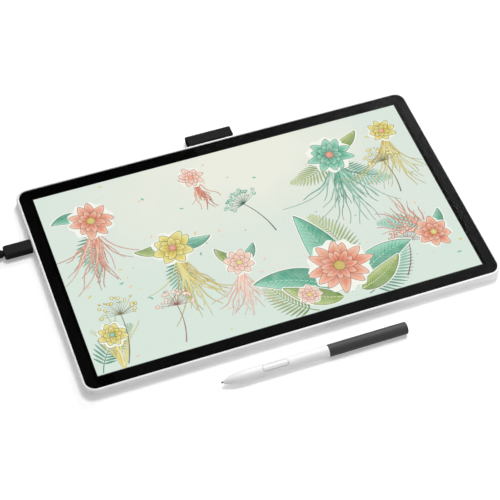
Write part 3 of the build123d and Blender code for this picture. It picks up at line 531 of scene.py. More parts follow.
@dataclass(frozen=True)
class LitInk(Finish):
    """Lit shapes of the picture, in the colour of their points, with the ground showing in patches."""

    ground: Rgb = tone(226, 233, 221)
    ground_share: Spot = (0.02, 0.24)
    patch_size: float = 6 * MM

    def shader(self, graph: Graph) -> Socket:
        """Shader of this finish.

        Args:
            graph: Graph of the material.

        Returns:
            The shader's socket.
        """
        ink = graph.add("Attribute", attribute_name="ink").outputs["Color"]
        thin = graph.remap(graph.noise(self.patch_size, 3.0), SOFT, self.ground_share)
        return graph.lit(graph.tinted(thin, ink, self.ground))


FINISHES: dict[str, Finish] = {
    "casing": Moulded(tone(240, 240, 240), 0.46, specular=0.22, mottle=0.015, grain_height=0.004 * MM),
    "cover_glass": CoverGlass(),
    "clear_bond": Clear((0.99, 0.995, 0.99), body=0.0, roughness=0.3),
    "border_ink": Moulded(tone(1, 1, 1), 0.34, specular=0.012, mottle=0.1, grain_height=0.0005 * MM),
    "tape": Moulded(tone(38, 38, 38), 0.8, grain_height=0.03 * MM),
    "panel": Moulded(tone(60, 66, 66), 0.3, coat=0.3),
    "polariser": Clear(tone(150, 156, 158), body=0.35),
    "film": Moulded(tone(236, 238, 238), 0.35, grain_size=0.15 * MM),
    "light_guide": Clear((0.93, 0.97, 0.96), body=0.25, roughness=0.15),
    "lamp_strip": Banded(tone(240, 238, 226), tone(236, 208, 92), 9 * MM),
    "reflector": Moulded(tone(246, 246, 246), 0.3, mottle=0.01),
    "pan_metal": Metal(tone(206, 208, 210), 0.34, Along.X),
    "circuit_board": SolderMask(tone(22, 92, 58), tone(58, 138, 92)),
    "shield_foil": Metal(tone(196, 198, 202), 0.28),
    "foam": Foam(tone(52, 52, 54)),
    "chips": Moulded(tone(40, 41, 44), 0.55, mottle=0.15, mottle_size=3 * MM),
    "tin": Metal(tone(214, 214, 208), 0.32, Along.Y),
    "screw_steel": Metal(tone(186, 188, 192), 0.26),
    "ribbon": Banded(tone(196, 140, 58), tone(170, 112, 40), 0.6 * MM, roughness=0.35),
    "socket_steel": Metal(tone(200, 202, 206), 0.24, Along.X),
    "black_plastic": Moulded(tone(23, 23, 24), 0.55, specular=0.12, mottle=0.08, grain_height=0.01 * MM),
    "key_plastic": Moulded(tone(226, 226, 226), 0.38, mottle=0.015),
    "light_pipe": Clear((0.9, 0.94, 0.95), body=0.4, roughness=0.15),
    "webbing": Woven(tone(28, 28, 29)),
    "foot_rubber": Moulded(tone(196, 197, 198), 0.8, grain_height=0.02 * MM),
    "pen_white": Moulded(tone(240, 240, 240), 0.42, specular=0.3, mottle=0.015, grain_height=0.004 * MM),
    "pen_dark": Moulded(tone(60, 60, 61), 0.55, specular=0.14, mottle=0.05, grain_height=0.006 * MM),
    "nib_plastic": Moulded(tone(62, 62, 64), 0.5),
    "ferrite": Moulded(tone(58, 56, 56), 0.6, mottle=0.2, mottle_size=1.5 * MM, grain_height=0.03 * MM),
    "copper": Banded(tone(196, 110, 60), tone(140, 70, 34), 0.3 * MM, metallic=0.9, roughness=0.3),
    "inner_plastic": Moulded(tone(212, 212, 208), 0.5),
    "switch_metal": Metal(tone(200, 200, 202), 0.3),
    "rocker_plastic": Moulded(tone(232, 232, 231), 0.36, mottle=0.015),
    "cable_jacket": Moulded(tone(20, 20, 21), 0.55, specular=0.05, mottle=0.1, mottle_size=20 * MM,
                            grain_height=0.01 * MM),
    "tie_strap": Woven(tone(40, 40, 42), rib=0.8 * MM, yarn=0.8 * MM),
}


@cache
def material_of(slot: str) -> Material:
    """Material of a slot, made when it is first asked for."""
    return FINISHES[slot].material(slot)


def quads(rows: int, columns: int, closed: bool = False) -> Array:
    """Quads of a grid of points numbered row by row.

    Args:
        rows: Number of rows of points.
        columns: Number of points in a row.
        closed: Whether the last row joins the first, and each row's last point its first.

    Returns:
        Whole numbers of shape (quads, 4).
    """
    row = np.arange(rows - (not closed))[:, None]
    column = np.arange(columns - (not closed))[None, :]
    next_row, next_column = (row + 1) % rows, (column + 1) % columns
    corners = [row * columns + column, row * columns + next_column, next_row * columns + next_column,
               next_row * columns + column]
    return np.stack([corner.ravel() for corner in corners], axis=1)


def linked(name: str, data: bpy.types.ID) -> Piece:
    """New object at the origin, linked into the scene.

    Args:
        name: Its name.
        data: Mesh, curve, light or camera that it shows.

    Returns:
        The new object.
    """
    made = bpy.data.objects.new(name, data)
    bpy.context.scene.collection.objects.link(made)
    return made


def new_piece(name: str, points: Array, faces: list, material: Material, smooth: bool = True) -> Piece:
    """Object at the origin whose mesh holds the points and faces, with one material.

    Args:
        name: Name of the piece.
        points: Points of shape (count, 3), in metres in the shared frame.
        faces: Lists of point numbers.
        material: Its material.
        smooth: Whether its faces are shaded smooth.

    Returns:
        The new object.
    """
    mesh = bpy.data.meshes.new(name)
    mesh.from_pydata(points.tolist(), [], faces)
    mesh.polygons.foreach_set("use_smooth", np.full(len(mesh.polygons), smooth))
    mesh.materials.append(material)
    mesh.update()
    return linked(name, mesh)


def woven_piece(name: str, points: Array, faces: Array, uv: Array, slot: str) -> Piece:
    """Closed band with a "weave" UV map, whose faces are turned so that the volume they enclose is positive.

    Args:
        name: Name of the piece.
        points: Points of shape (count, 3), in millimetres in the shared frame.
        faces: Quads of shape (count, 4).
        uv: UVs of the points, in millimetres.
        slot: Its material slot.

    Returns:
        The new piece.
    """
    first, second, third, fourth = (points[faces[:, corner]] for corner in range(4))
    volume = np.einsum("ij,ij->", first, np.cross(second, third) + np.cross(third, fourth))
    outward = faces if volume > 0 else faces[:, ::-1]
    piece = new_piece(name, points * MM, outward.tolist(), material_of(slot))
    layer = piece.data.uv_layers.new(name="weave")
    corners = np.empty(len(piece.data.loops), np.int32)
    piece.data.loops.foreach_get("vertex_index", corners)
    layer.data.foreach_set("uv", (uv * MM)[corners].astype(np.float32).ravel())
    return piece


@dataclass
class SubAssembly:
    """Group of CAD bodies that is dressed together."""

    bodies: tuple[str, ...]

    def dress_nodes(self) -> None:
        """Gives each CAD node of the group's bodies the material of its slot."""
        slots = {row["node"]: row["material_slot"] for row in frame["record"]["subparts"]}
        groups = frame["record"]["behaviour"]["bodies"]
        for node in (name for body in self.bodies for name in groups[body]):
            mesh = frame["nodes"][node].data
            mesh.materials.clear()
            mesh.materials.append(material_of(slots[node]))

    def add(self, piece: Piece, body: str, slot: str, *nodes: str) -> Piece:
        """Puts a new piece on a body, in place of some CAD nodes.

        Args:
            piece: The piece.
            body: Body that it rides on.
            slot: Its material slot; not used.
            nodes: CAD nodes that it replaces.

        Returns:
            The piece.
        """
        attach(piece, body)
        if nodes:
            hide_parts(*nodes)
        log.info("%s rides on %s%s", piece.name, body, f" for {', '.join(nodes)}" if nodes else "")
        return piece


@dataclass
class Lead(SubAssembly):
    """Lead with a plug at each end: down to the desk, round a neat tied coil, and over its top.

    Its routes, coil and strap are in millimetres.
    """

    bodies: tuple[str, ...] = ("cable",)
    diameter: float = 4.2 * MM
    length: float = 1.77
    exit: Point = (-201.7 * MM, 52.975 * MM, 4.6 * MM)
    start_route: tuple[Point, ...] = (
        (-201.7, 52.975, 4.6), (-208.7, 52.975, 4.6), (-220.7, 52.375, 3.35), (-234.7, 52.775, 2.75),
        (-242.704, 52.66, 2.75))
    end_route: tuple[Point, ...] = (
        (-284.542, 96.309, 21.751), (-280.522, 108.669, 21.901), (-270.862, 117.369, 22.101),
        (-258.152, 120.079, 22.351), (-245.782, 116.059, 22.551), (-237.082, 106.399, 22.751),
        (-233.832, 99.089, 22.751))
    coil_middle: Spot = (-254.9, 84.1125)
    coil_start: float = -90.0
    coil_radius: float = 31.1375
    coil_pitch: float = 4.75
    coil_rise: float = 2.75
    turns_per_layer: float = 2.5
    layers: int = 4
    climb_turns: float = 0.5
    points_per_turn: int = 24
    strap_angle: float = -48.0
    strap_width: float = 8.0
    strap_sheet: float = 0.5
    strap_gap: float = 0.12
    strap_climb: float = 0.25
    strap_corner_points: int = 8
    strap_side_points: int = 10
    strap_edge_points: int = 10

    def coil_points(self) -> Array:
        """Points of the coil's turns, in millimetres.

        The radius falls by one pitch a turn to the inner end of a layer and grows back out in the next, eased
        where it reverses. The height climbs one pitch in half a turn round each reversal, as a half cosine.

        Returns:
            Points of shape (count, 3), from the outer turn on the desk to the outer turn on top.
        """
        last = self.layers * self.turns_per_layer + self.climb_turns / 2
        turn = np.linspace(0, last, round(last * self.points_per_turn) + 1)
        ease = self.climb_turns / 2
        from_inner = np.abs(turn % (2 * self.turns_per_layer) - self.turns_per_layer)
        inward = self.turns_per_layer - from_inner
        eased_out = np.where((inward < ease) & (turn > ease), (inward ** 2 / ease + ease) / 2, inward)
        eased_in = self.turns_per_layer - (from_inner ** 2 / ease + ease) / 2
        inward = np.where(from_inner < ease, eased_in, eased_out)
        radius = self.coil_radius - self.coil_pitch * inward
        layer = np.arange(1, self.layers + 1)[:, None] * self.turns_per_layer
        climbed = np.clip((turn - layer) / self.climb_turns + 0.5, 0, 1)
        height = self.coil_rise + self.coil_pitch * ((1 - np.cos(np.pi * climbed)) / 2).sum(axis=0)
        angle = np.radians(self.coil_start - 360 * turn)
        x, y = self.coil_middle
        return np.stack([x + radius * np.cos(angle), y + radius * np.sin(angle), height], axis=1)

    def build_cord(self) -> Piece:
        """Lead as a round curve of one open spline through its whole route.

        Returns:
            The cord.
        """
        coil = self.coil_points()
        route = np.concatenate([np.array(self.start_route), coil, np.array(self.end_route)]) * MM
        curve = bpy.data.curves.new("lead_cord", "CURVE")
        curve.dimensions = "3D"
        spline = curve.splines.new("NURBS")
        spline.points.add(len(route) - 1)
        spline.points.foreach_set("co", np.column_stack([route, np.ones(len(route))]).ravel())
        spline.order_u = 3
        spline.use_endpoint_u = True
        spline.resolution_u = 5
        curve.bevel_depth = self.diameter / 2
        curve.bevel_resolution = 3
        curve.use_fill_caps = True
        curve.materials.append(material_of("cable_jacket"))
        cord = linked("lead_cord", curve)
        return self.add(cord, "cable", "cable_jacket", "cable_lead", "cable_coil", "cable_tail")

    def build_strap(self) -> Piece:
        """Woven strap round the coil's bundle.

        A thin bar with round edges is carried round a rounded rectangle in the plane through the coil's axis.
        Its top leaves room for the share of a pitch that the last turn has climbed there.

        Returns:
            The strap.
        """
        half_cable = self.diameter / 2 / MM
        inner = self.coil_radius - self.coil_pitch * self.turns_per_layer - half_cable - self.strap_gap
        low = self.coil_rise - half_cable - self.strap_gap
        outer = self.coil_radius + half_cable + self.strap_gap
        top = self.coil_rise + self.coil_pitch * (self.layers - 1)
        high = top + half_cable + self.coil_pitch * self.strap_climb + self.strap_gap
        least, most = np.array([inner, low]), np.array([outer, high])
        half_sheet = self.strap_sheet / 2
        path = rounded_loop((least + most) / 2, (most - least) / 2 + half_sheet, half_cable + half_sheet,
                            self.strap_corner_points, self.strap_side_points)
        points, faces, uv = carried_band(path, self.strap_width, self.strap_sheet, self.strap_edge_points)
        angle = math.radians(self.strap_angle)
        out, up, across = points[:, 1], points[:, 2], points[:, 0]
        x = self.coil_middle[0] + out * math.cos(angle) - across * math.sin(angle)
        y = self.coil_middle[1] + out * math.sin(angle) + across * math.cos(angle)
        strap = woven_piece("coil_strap", np.stack([x, y, up], axis=1), faces, uv, "tie_strap")
        return self.add(strap, "cable", "tie_strap", "cable_tie")

    def build(self) -> None:
        self.dress_nodes()
        cord = self.build_cord()
        strap = self.build_strap()


def rounded_loop(middle: Array, half: Array, corner: float, corner_points: int, side_points: int) -> Array:
    """Closed rounded rectangle: quarter circles at the corners, joined by straight sides.

    Args:
        middle: Its middle.
        half: Half its size along each axis.
        corner: Radius of the corners.
        corner_points: Points on each corner.
        side_points: Points between two corners.

    Returns:
        Points of shape (count, 2), counter-clockwise.
    """
    angles = (np.arange(4)[:, None] + np.linspace(0, 1, corner_points)[None, :]) * math.pi / 2
    signs = np.array([(1, 1), (-1, 1), (-1, -1), (1, -1)])
    centres = middle + signs * (half - corner)
    arcs = centres[:, None, :] + corner * directions(angles)
    following = np.roll(arcs[:, 0], -1, axis=0)
    share = np.linspace(0, 1, side_points + 2)[1:-1, None]
    sides = arcs[:, -1:] * (1 - share) + following[:, None] * share
    return np.concatenate([arcs, sides], axis=1).reshape(-1, 2)


def carried_band(path: Array, width: float, sheet: float, edge_points: int,
                 flat_points: int = 22) -> tuple[Array, Array, Array]:
    """Band whose section, a thin bar with round edges, is carried along a closed path across its plane.

    Args:
        path: Closed path through the middle of the sheet, of shape (count, 2).
        width: Width across the path's plane.
        sheet: Thickness.
        edge_points: Points on each round edge.
        flat_points: Points across each flat side.

    Returns:
        Points of shape (count, 3) as (across, first axis, second axis), quads, and UVs of (across, along).
    """
    step = np.roll(path, -1, axis=0) - np.roll(path, 1, axis=0)
    tangent = step / np.linalg.norm(step, axis=1, keepdims=True)
    normal = np.stack([tangent[:, 1], -tangent[:, 0]], axis=1)
    turn = np.linspace(-math.pi / 2, math.pi / 2, edge_points)
    flat = np.linspace(-1, 1, flat_points + 2)[1:-1]
    half = sheet / 2
    reach = width / 2 - half
    edge, rise, level = reach + half * np.cos(turn), half * np.sin(turn), np.full(flat_points, half)
    across = np.concatenate([edge, -flat * reach, -edge, flat * reach])
    offset = np.concatenate([rise, level, -rise, -level])
    run = np.concatenate([[0.0], np.cumsum(np.linalg.norm(np.diff(path, axis=0), axis=1))])
    rows, columns = len(path), len(across)
    points = np.empty((rows, columns, 3))
    points[..., 0] = across
    points[..., 1:] = path[:, None, :] + offset[None, :, None] * normal[:, None, :]
    uv = np.stack(np.broadcast_arrays(across[None, :], run[:, None]), axis=2)
    return points.reshape(-1, 3), quads(rows, columns, closed=True), uv.reshape(-1, 2)


def mixed(first: Array, second: Array, share: Array) -> Array:
    """Colours between two, one for each share."""
    return first * (1 - share[..., None]) + second * share[..., None]


@dataclass(frozen=True)
class Tones:
    """Dark, middle and light colour of one inked shape, with its outline."""

    dark: Array
    middle: Array
    light: Array
    line: Array

    def shade(self, first: Array, second: Array) -> Array:
        """Colours from dark to middle by one share, and on towards light by another, held from 0 to 1."""
        base = mixed(self.dark, self.middle, np.clip(first, 0, 1))
        return base + (self.light - self.middle) * np.clip(second, 0, 1)[..., None]


def tones(*colours: tuple[int, int, int]) -> Tones:
    """Tones of four screen colours: dark, middle, light and outline."""
    return Tones(*(np.array(tone(*colour)) for colour in colours))


TEAL = tones((52, 138, 112), (104, 186, 156), (170, 222, 200), (38, 92, 80))
CORAL = tones((206, 104, 78), (236, 146, 116), (250, 200, 176), (120, 66, 56))
MUSTARD = tones((198, 164, 58), (224, 204, 92), (242, 234, 158), (112, 100, 48))
BLUSH = tones((238, 168, 150), (246, 198, 180), (253, 228, 214), (150, 96, 88))
OLIVE = tones((112, 146, 70), (160, 184, 98), (206, 216, 150), (70, 92, 56))
CREAM = np.array(tone(250, 249, 240))


@dataclass
class Sketch:
    """Flat lit shapes, in millimetres, stacked in thin steps over the panel and gathered into one mesh."""

    half_width: float = 154.7
    half_depth: float = 87.0
    middle_y: float = PICTURE_Y
    low: float = 8.715
    step: float = 0.012
    nudge: float = 0.0002
    nudges: int = 24
    least_area: float = 1e-4
    lift: float = 0.0
    points: list = field(default_factory=list)
    faces: list = field(default_factory=list)
    inks: list = field(default_factory=list)
    count: int = 0

    def keep(self, xy: Array, ink: Array, faces: Array, layer: float) -> None:
        """Adds shapes of one kind, cut off at the picture's edges, and leaves out faces that have no area.

        A shape's height is the lowest plus the layer and the lift times the step, plus a nudge a shape.

        Args:
            xy: Points of shape (shapes, points, 2), from the picture's middle.
            ink: Colours that fit (shapes, points, 3).
            faces: Point numbers of one shape, of shape (faces, corners).
            layer: Layer that the shapes lie in.
        """
        shapes, size = xy.shape[:2]
        cut = np.clip(xy, (-self.half_width, -self.half_depth), (self.half_width, self.half_depth))
        height = self.low + (layer + self.lift) * self.step + np.arange(shapes) % self.nudges * self.nudge
        solid = np.empty((shapes, size, 3))
        solid[..., :2] = cut + (0, self.middle_y)
        solid[..., 2] = height[:, None]
        numbers = (np.arange(shapes)[:, None, None] * size + faces[None]).reshape(-1, faces.shape[1])
        flat = solid.reshape(-1, 3)
        corners = flat[numbers][..., :2]
        following = np.roll(corners, -1, axis=1)
        area = (corners[..., 0] * following[..., 1] - following[..., 0] * corners[..., 1]).sum(axis=1) / 2
        numbers = np.where((area < 0)[:, None], numbers[:, ::-1], numbers)[np.abs(area) > self.least_area]
        self.points.append(flat)
        self.inks.append(np.broadcast_to(ink, (shapes, size, 3)).reshape(-1, 3))
        self.faces.extend((numbers + self.count).tolist())
        self.count += len(flat)

    def blades(self, paths: Array, half: Array, ink: Array, layer: float, columns: int = 2) -> None:
        """Shapes that carry a width along a path: a point lies at the path plus its normal times the width.

        Args:
            paths: Paths of shape (shapes, rows, 2).
            half: Half widths that fit (shapes, rows).
            ink: Colours that fit (shapes, rows, columns, 3).
            layer: Layer that they lie in.
            columns: Points across.
        """
        tangent = np.gradient(paths, axis=1)
        tangent /= np.maximum(np.linalg.norm(tangent, axis=2, keepdims=True), 1e-9)
        normal = np.stack([-tangent[..., 1], tangent[..., 0]], axis=2)
        shapes, rows = paths.shape[:2]
        reach = np.broadcast_to(half, (shapes, rows))[..., None] * np.linspace(-1, 1, columns)
        xy = paths[:, :, None, :] + normal[:, :, None, :] * reach[..., None]
        ink = np.broadcast_to(ink, (shapes, rows, columns, 3))
        self.keep(xy.reshape(shapes, -1, 2), ink.reshape(shapes, -1, 3), quads(rows, columns), layer)

    def dots(self, centres: Array, radius: Values, ink: Array, layer: float, sides: int = 9) -> None:
        """Round dots: corners lie at the centre plus the radius round a circle.

        Args:
            centres: Centres of shape (dots, 2).
            radius: Radius of all, or one a dot.
            ink: One colour, or colours of shape (dots, 3).
            layer: Layer that they lie in.
            sides: Corners of each.
        """
        ring = directions(np.arange(sides) * math.tau / sides)
        xy = centres[:, None, :] + np.broadcast_to(radius, len(centres))[:, None, None] * ring
        self.keep(xy, ink[..., None, :], np.arange(sides)[None, :], layer)

    def build(self, name: str) -> Piece:
        """Mesh of everything drawn, with its colours in the "ink" attribute.

        Args:
            name: Name of the piece.

        Returns:
            The new piece.
        """
        points = np.concatenate(self.points) * MM
        piece = new_piece(name, points, self.faces, LitInk().material(name), smooth=False)
        colours = np.column_stack([np.concatenate(self.inks), np.ones(self.count)])
        layer = piece.data.color_attributes.new("ink", "FLOAT_COLOR", "POINT")
        layer.data.foreach_set("color", colours.astype(np.float32).ravel())
        return piece


def directions(angles: Array) -> Array:
    """Cosine and sine of each angle, on a last axis of 2."""
    return np.stack([np.cos(angles), np.sin(angles)], axis=-1)


def bulge(share: Array, skew: float, fullness: float) -> Array:
    """Width along a petal or leaf: sine of pi times the share to the power skew, to the power fullness."""
    return np.sin(np.pi * share ** skew) ** fullness


def rays(centre: Spot | Array, angles: Array, start: Values, end: Values, bend: Values, rows: int) -> Array:
    """Paths that leave a centre at an angle each and bend to one side.

    A point lies at the centre plus its distance along the ray, turned by the angle and its share of the bend.

    Args:
        centre: Centre of all rays, or one a ray.
        angles: Angle of each ray, in radians.
        start: Distance of its first point.
        end: Distance of its last point.
        bend: Angle that it bends by, in radians.
        rows: Points on each path.

    Returns:
        Points of shape (rays, rows, 2).
    """
    share = np.linspace(0, 1, rows)
    start, end, bend = (np.broadcast_to(value, angles.shape)[:, None] for value in (start, end, bend))
    distance = start * (1 - share) + end * share
    heading = angles[:, None] + bend * share
    return np.asarray(centre)[..., None, :] + distance[..., None] * directions(heading)


def twigs(starts: Array, angles: Array, lengths: Array, rows: int) -> Array:
    """Straight paths of rows of points: each lies at the start plus a share of the length along the angle."""
    reach = lengths[:, None] * np.linspace(0, 1, rows)
    return starts[:, None, :] + reach[..., None] * directions(angles)[:, None, :]


@dataclass
class Garden:
    """Picture on the screen, in millimetres: blooms, leaves, fronds, seed heads and grass on a pale wash.

    Angles are in radians from +X, layers count the sketch's steps, and an outline lies under its body.
    """

    sketch: Sketch
    draws: np.random.Generator

    def petals(self, centre: Spot, angles: Array, start: float, length: float, width: float, inks: Tones,
               layer: float) -> None:
        """Ring of petals with outlines and three fine veins each.

        Args:
            centre: Centre of the flower.
            angles: Angle of each petal.
            start: Distance from the centre to its root.
            length: Its mean length.
            width: Its width at the widest place.
            inks: Its tones.
            layer: Layer of its outline.
        """
        rows, columns, vein_rows, edge = 13, 7, 8, 0.33
        share = np.linspace(0, 1, rows)
        reach = length * (1 + 0.08 * self.draws.standard_normal(len(angles)))
        bend = 0.12 * self.draws.standard_normal(len(angles))
        half = width / 2 * bulge(share, 0.72, 0.62)
        outline = rays(centre, angles, start - edge, start + reach + edge, bend, rows)
        self.sketch.blades(outline, half + edge, inks.line, layer, 3)
        across = np.abs(np.linspace(-1, 1, columns))
        blend = np.clip(share[:, None] * 1.15 - 0.25 * (1 - across) ** 2, 0, 1)
        body = rays(centre, angles, start, start + reach, bend, rows)
        self.sketch.blades(body, half, inks.shade(blend * 2, blend * 2 - 1), layer + 0.5, columns)
        for lean in (-0.45, 0.0, 0.45):
            heading = angles + lean * width / length / 2
            vein = rays(centre, heading, start, start + reach * 0.72, bend, vein_rows)
            self.sketch.blades(vein, np.linspace(0.16, 0.05, vein_rows), inks.dark, layer + 0.75)

    def bloom(self, centre: Spot, radius: float, inks: Tones, heart: Tones, count: int, turn: float) -> None:
        """Open flower: a pale halo, two rings of petals in two layers each, and a heart of seeds.

        Args:
            centre: Its centre.
            radius: Its radius.
            inks: Tones of its petals.
            heart: Tones of its heart.
            count: Petals in a ring.
            turn: Angle of the first one.
        """
        halo_rows, heart_sides, seed_count = 9, 20, 46
        outer = turn + math.tau / count * np.arange(count)
        inner = outer + math.pi / count
        width = math.tau * radius * 0.62 / count * 1.2
        halo = radius * 0.36 * bulge(np.linspace(0, 1, halo_rows), 0.7, 0.5) + 0.9
        self.sketch.blades(rays(centre, outer, 0.0, radius * 1.07, 0.0, halo_rows), halo, CREAM, 3.0, 3)
        for angles, start, length, breadth, layer in (
                (outer[::2], 0.12, 0.88, width, 5.0), (outer[1::2], 0.12, 0.88, width, 6.0),
                (inner[::2], 0.1, 0.5, width * 0.62, 7.0), (inner[1::2], 0.1, 0.5, width * 0.62, 8.0)):
            self.petals(centre, angles, radius * start, radius * length, breadth, inks, layer)
        middle = np.array([centre])
        self.sketch.dots(middle, radius * 0.2, heart.line, 9.0, heart_sides)
        self.sketch.dots(middle, radius * 0.18, heart.dark, 9.5, heart_sides)
        number = np.arange(seed_count)
        spiral = radius * 0.175 * np.sqrt(number / seed_count)
        seeds = middle + spiral[:, None] * directions(number * GOLDEN_ANGLE)
        self.sketch.dots(seeds, 0.34, mixed(heart.light, heart.middle, spiral / spiral.max()), 10.0, 7)

    def leaf(self, base: Spot, angle: float, length: float, width: float, inks: Tones, bend: float) -> None:
        """Broad leaf with a pale halo, an outline, a midrib and side veins.

        Args:
            base: Its root.
            angle: Angle at its root.
            length: Its length.
            width: Its width at the widest place.
            inks: Its tones.
            bend: Angle that it bends by.
        """
        rows, columns, vein_rows, layer = 19, 9, 6, 4.0
        share = np.linspace(0, 1, rows)
        half = width / 2 * bulge(share, 0.8, 0.85)
        angles = np.array([angle])
        under = ((0.5, 1.2, 1.1, CREAM, 1.0), (0.3, 0.5, 0.35, inks.line, 0.5))
        for before, beyond, edge, ink, depth in under:
            path = rays(base, angles, -before, length + beyond, bend, rows)
            self.sketch.blades(path, half + edge, ink, layer - depth, 3)
        spine = rays(base, angles, 0.0, length, bend, rows)
        blend = np.clip(0.25 + 0.5 * share[:, None] + 0.35 * np.linspace(-1, 1, columns), 0, 1)
        self.sketch.blades(spine, half, inks.shade(blend * 1.6, blend * 2 - 1.1), layer, columns)
        self.sketch.blades(spine, np.linspace(0.5, 0.08, rows), inks.light, layer + 0.25)
        steps = np.arange(2, rows - 3)
        heading = spine[0, steps + 1] - spine[0, steps]
        for lean in (-0.75, 0.75):
            angles = np.arctan2(heading[:, 1], heading[:, 0]) + lean
            vein = twigs(spine[0, steps], angles, half[steps] * 1.02, vein_rows)
            self.sketch.blades(vein, np.linspace(0.16, 0.04, vein_rows), inks.line, layer + 0.3)

    def frond(self, base: Spot, angle: float, length: float, inks: Tones, bend: float) -> None:
        """Fern frond: a thin spine with pairs of leaflets, longest a third of the way up.

        Args:
            base: Its root.
            angle: Angle at its root.
            length: Its length.
            inks: Its tones.
            bend: Angle that it bends by.
        """
        layer, leaflet_rows = 1.0, 8
        pairs = round(length / 3.1)
        spine = rays(base, np.array([angle]), 0.0, length, bend, pairs + 4)[0]
        heading = np.gradient(spine, axis=0)
        ahead = np.arctan2(heading[:, 1], heading[:, 0])[3:-1]
        share = np.linspace(0, 1, pairs)
        size = length * 0.22 * (0.25 + bulge(0.12 + 0.86 * share, 0.7, 1.0))
        half = 0.72 * bulge(np.linspace(0, 1, leaflet_rows), 0.8, 0.8)
        ink = mixed(inks.dark, inks.light, share[:, None, None])
        for side in (-1, 1):
            paths = twigs(spine[3:-1], ahead + side * (1.15 - 0.5 * share), size, leaflet_rows)
            self.sketch.blades(paths, half + 0.12, inks.line, layer, 3)
            self.sketch.blades(paths, half, ink, layer + 0.5, 3)
        self.sketch.blades(spine[None], np.linspace(0.45, 0.12, len(spine)), inks.dark, layer + 0.75)

    def grass(self, base: Spot, angle: float, length: float, inks: Tones, count: int, fan: float) -> None:
        """Tuft of fine waving blades that run out from a base.

        Args:
            base: Its root.
            angle: Angle of its middle.
            length: Length of its longer blades.
            inks: Its tones.
            count: Number of blades.
            fan: Angle that they spread over.
        """
        layer, rows = 2.0, 26
        share = np.linspace(0, 1, rows)
        angles = angle + fan * (self.draws.random(count) - 0.5)
        reach = length * (0.55 + 0.5 * self.draws.random(count))
        paths = rays(base, angles, 0.0, reach, 0.35 * self.draws.standard_normal(count), rows)
        turns = share * (1.2 + self.draws.random((count, 1))) + self.draws.random((count, 1))
        wave = 1.5 * share * np.sin(math.tau * turns)
        paths += wave[..., None] * np.stack([-np.sin(angles), np.cos(angles)], axis=1)[:, None, :]
        half = (0.5 * (1 - share) ** 0.7 + 0.09) * (0.6 + 0.8 * self.draws.random((count, 1)))
        ink = mixed(inks.dark, inks.light, self.draws.random((count, 1, 1)))
        self.sketch.blades(paths, half + 0.14, inks.line, layer)
        self.sketch.blades(paths, half, ink, layer + 0.5)

    def seed_head(self, base: Spot, angle: float, stem: float, radius: float, inks: Tones) -> None:
        """Seed head: a bent stem, then thin rays that end in round seeds with a pale spot each.

        Args:
            base: Its root.
            angle: Angle at its root.
            stem: Length of its stem.
            radius: Length of the longest rays.
            inks: Its tones.
        """
        count, stem_rows, ray_rows, bend, edge = 22, 18, 6, 0.25, 0.28
        path = rays(base, np.array([angle]), 0.0, stem, bend, stem_rows)
        self.sketch.blades(path, np.linspace(0.5, 0.3, stem_rows), inks.line, 3.0)
        angles = angle + bend + np.linspace(-1.5, 1.5, count) + 0.05 * self.draws.standard_normal(count)
        reach = radius * (0.55 + 0.45 * self.draws.random(count))
        spokes = rays(path[0, -1], angles, 0.0, reach, 0.1, ray_rows)
        self.sketch.blades(spokes, np.linspace(0.2, 0.1, ray_rows), inks.line, 3.5)
        ends = spokes[:, -1]
        size = 0.7 + 0.9 * self.draws.random(count)
        self.sketch.dots(ends, size + edge, inks.line, 4.0)
        self.sketch.dots(ends, size, mixed(inks.middle, inks.light, self.draws.random(count)), 5.0)
        self.sketch.dots(ends + 0.25, size * 0.35, CREAM, 6.0, 7)

    def drift(self, count: int) -> None:
        """Dots scattered over the whole ground, with a loose petal at every third.

        Args:
            count: Number of dots.
        """
        margin, rows = 4, 8
        limit = np.array([self.sketch.half_width - margin, self.sketch.half_depth - margin])
        spots = (self.draws.random((count, 2)) * 2 - 1) * limit
        inks = np.array([TEAL.middle, CORAL.light, MUSTARD.middle, BLUSH.middle])
        colours = inks[self.draws.integers(0, len(inks), count)]
        self.sketch.dots(spots, 0.25 + 0.55 * self.draws.random(count) ** 2, colours, 0.0, 8)
        angles = self.draws.random(count // 3) * math.tau
        third = slice(0, count // 3 * 3, 3)
        paths = rays(spots[third], angles, 0.0, 3.4, 0.6, rows)
        half = 0.75 * bulge(np.linspace(0, 1, rows), 0.8, 0.8)
        self.sketch.blades(paths, half, colours[third, None, None, :], 0.5, 3)

    def plant(self, draw: Callable[..., None], rows: tuple, step: float = LIFT_STEP,
              limit: float = 0.5) -> None:
        """Draws a plant for each row of a table, and lifts the sketch a step after each.

        Args:
            draw: Method that draws one plant.
            rows: What it is given for each plant.
            step: Step, in layers.
            limit: Lift that starts again from 0.
        """
        for row in rows:
            draw(*row)
            self.sketch.lift = (self.sketch.lift + step) % limit


# Each row is what Garden's method of that name is given.
FRONDS = (
    ((-116, 44), 4.0, 48, TEAL, 0.5), ((-62, 0), 4.2, 46, TEAL, 0.4), ((-150, -86), 1.3, 48, TEAL, -0.5),
    ((84, 48), 5.1, 50, TEAL, 0.5), ((84, 52), 4.0, 44, OLIVE, -0.5), ((128, -46), 2.0, 42, TEAL, 0.6),
    ((62, -84), 0.35, 62, TEAL, 0.4), ((20, -86), 2.7, 52, OLIVE, -0.5), ((56, -60), 1.25, 62, OLIVE, 0.5))
GRASSES = (
    ((-118, 46), 4.55, 68, CORAL, 30, 0.75), ((-66, 0), 4.85, 66, MUSTARD, 30, 0.75),
    ((84, 48), 4.7, 68, TEAL, 32, 0.8), ((-22, -28), 4.4, 46, BLUSH, 22, 0.7),
    ((132, -48), 2.3, 50, CORAL, 24, 0.8), ((-134, -88), 1.5, 50, MUSTARD, 18, 0.8),
    ((134, 60), 4.6, 58, MUSTARD, 26, 0.6), ((-30, 66), 4.9, 34, CORAL, 16, 0.7))
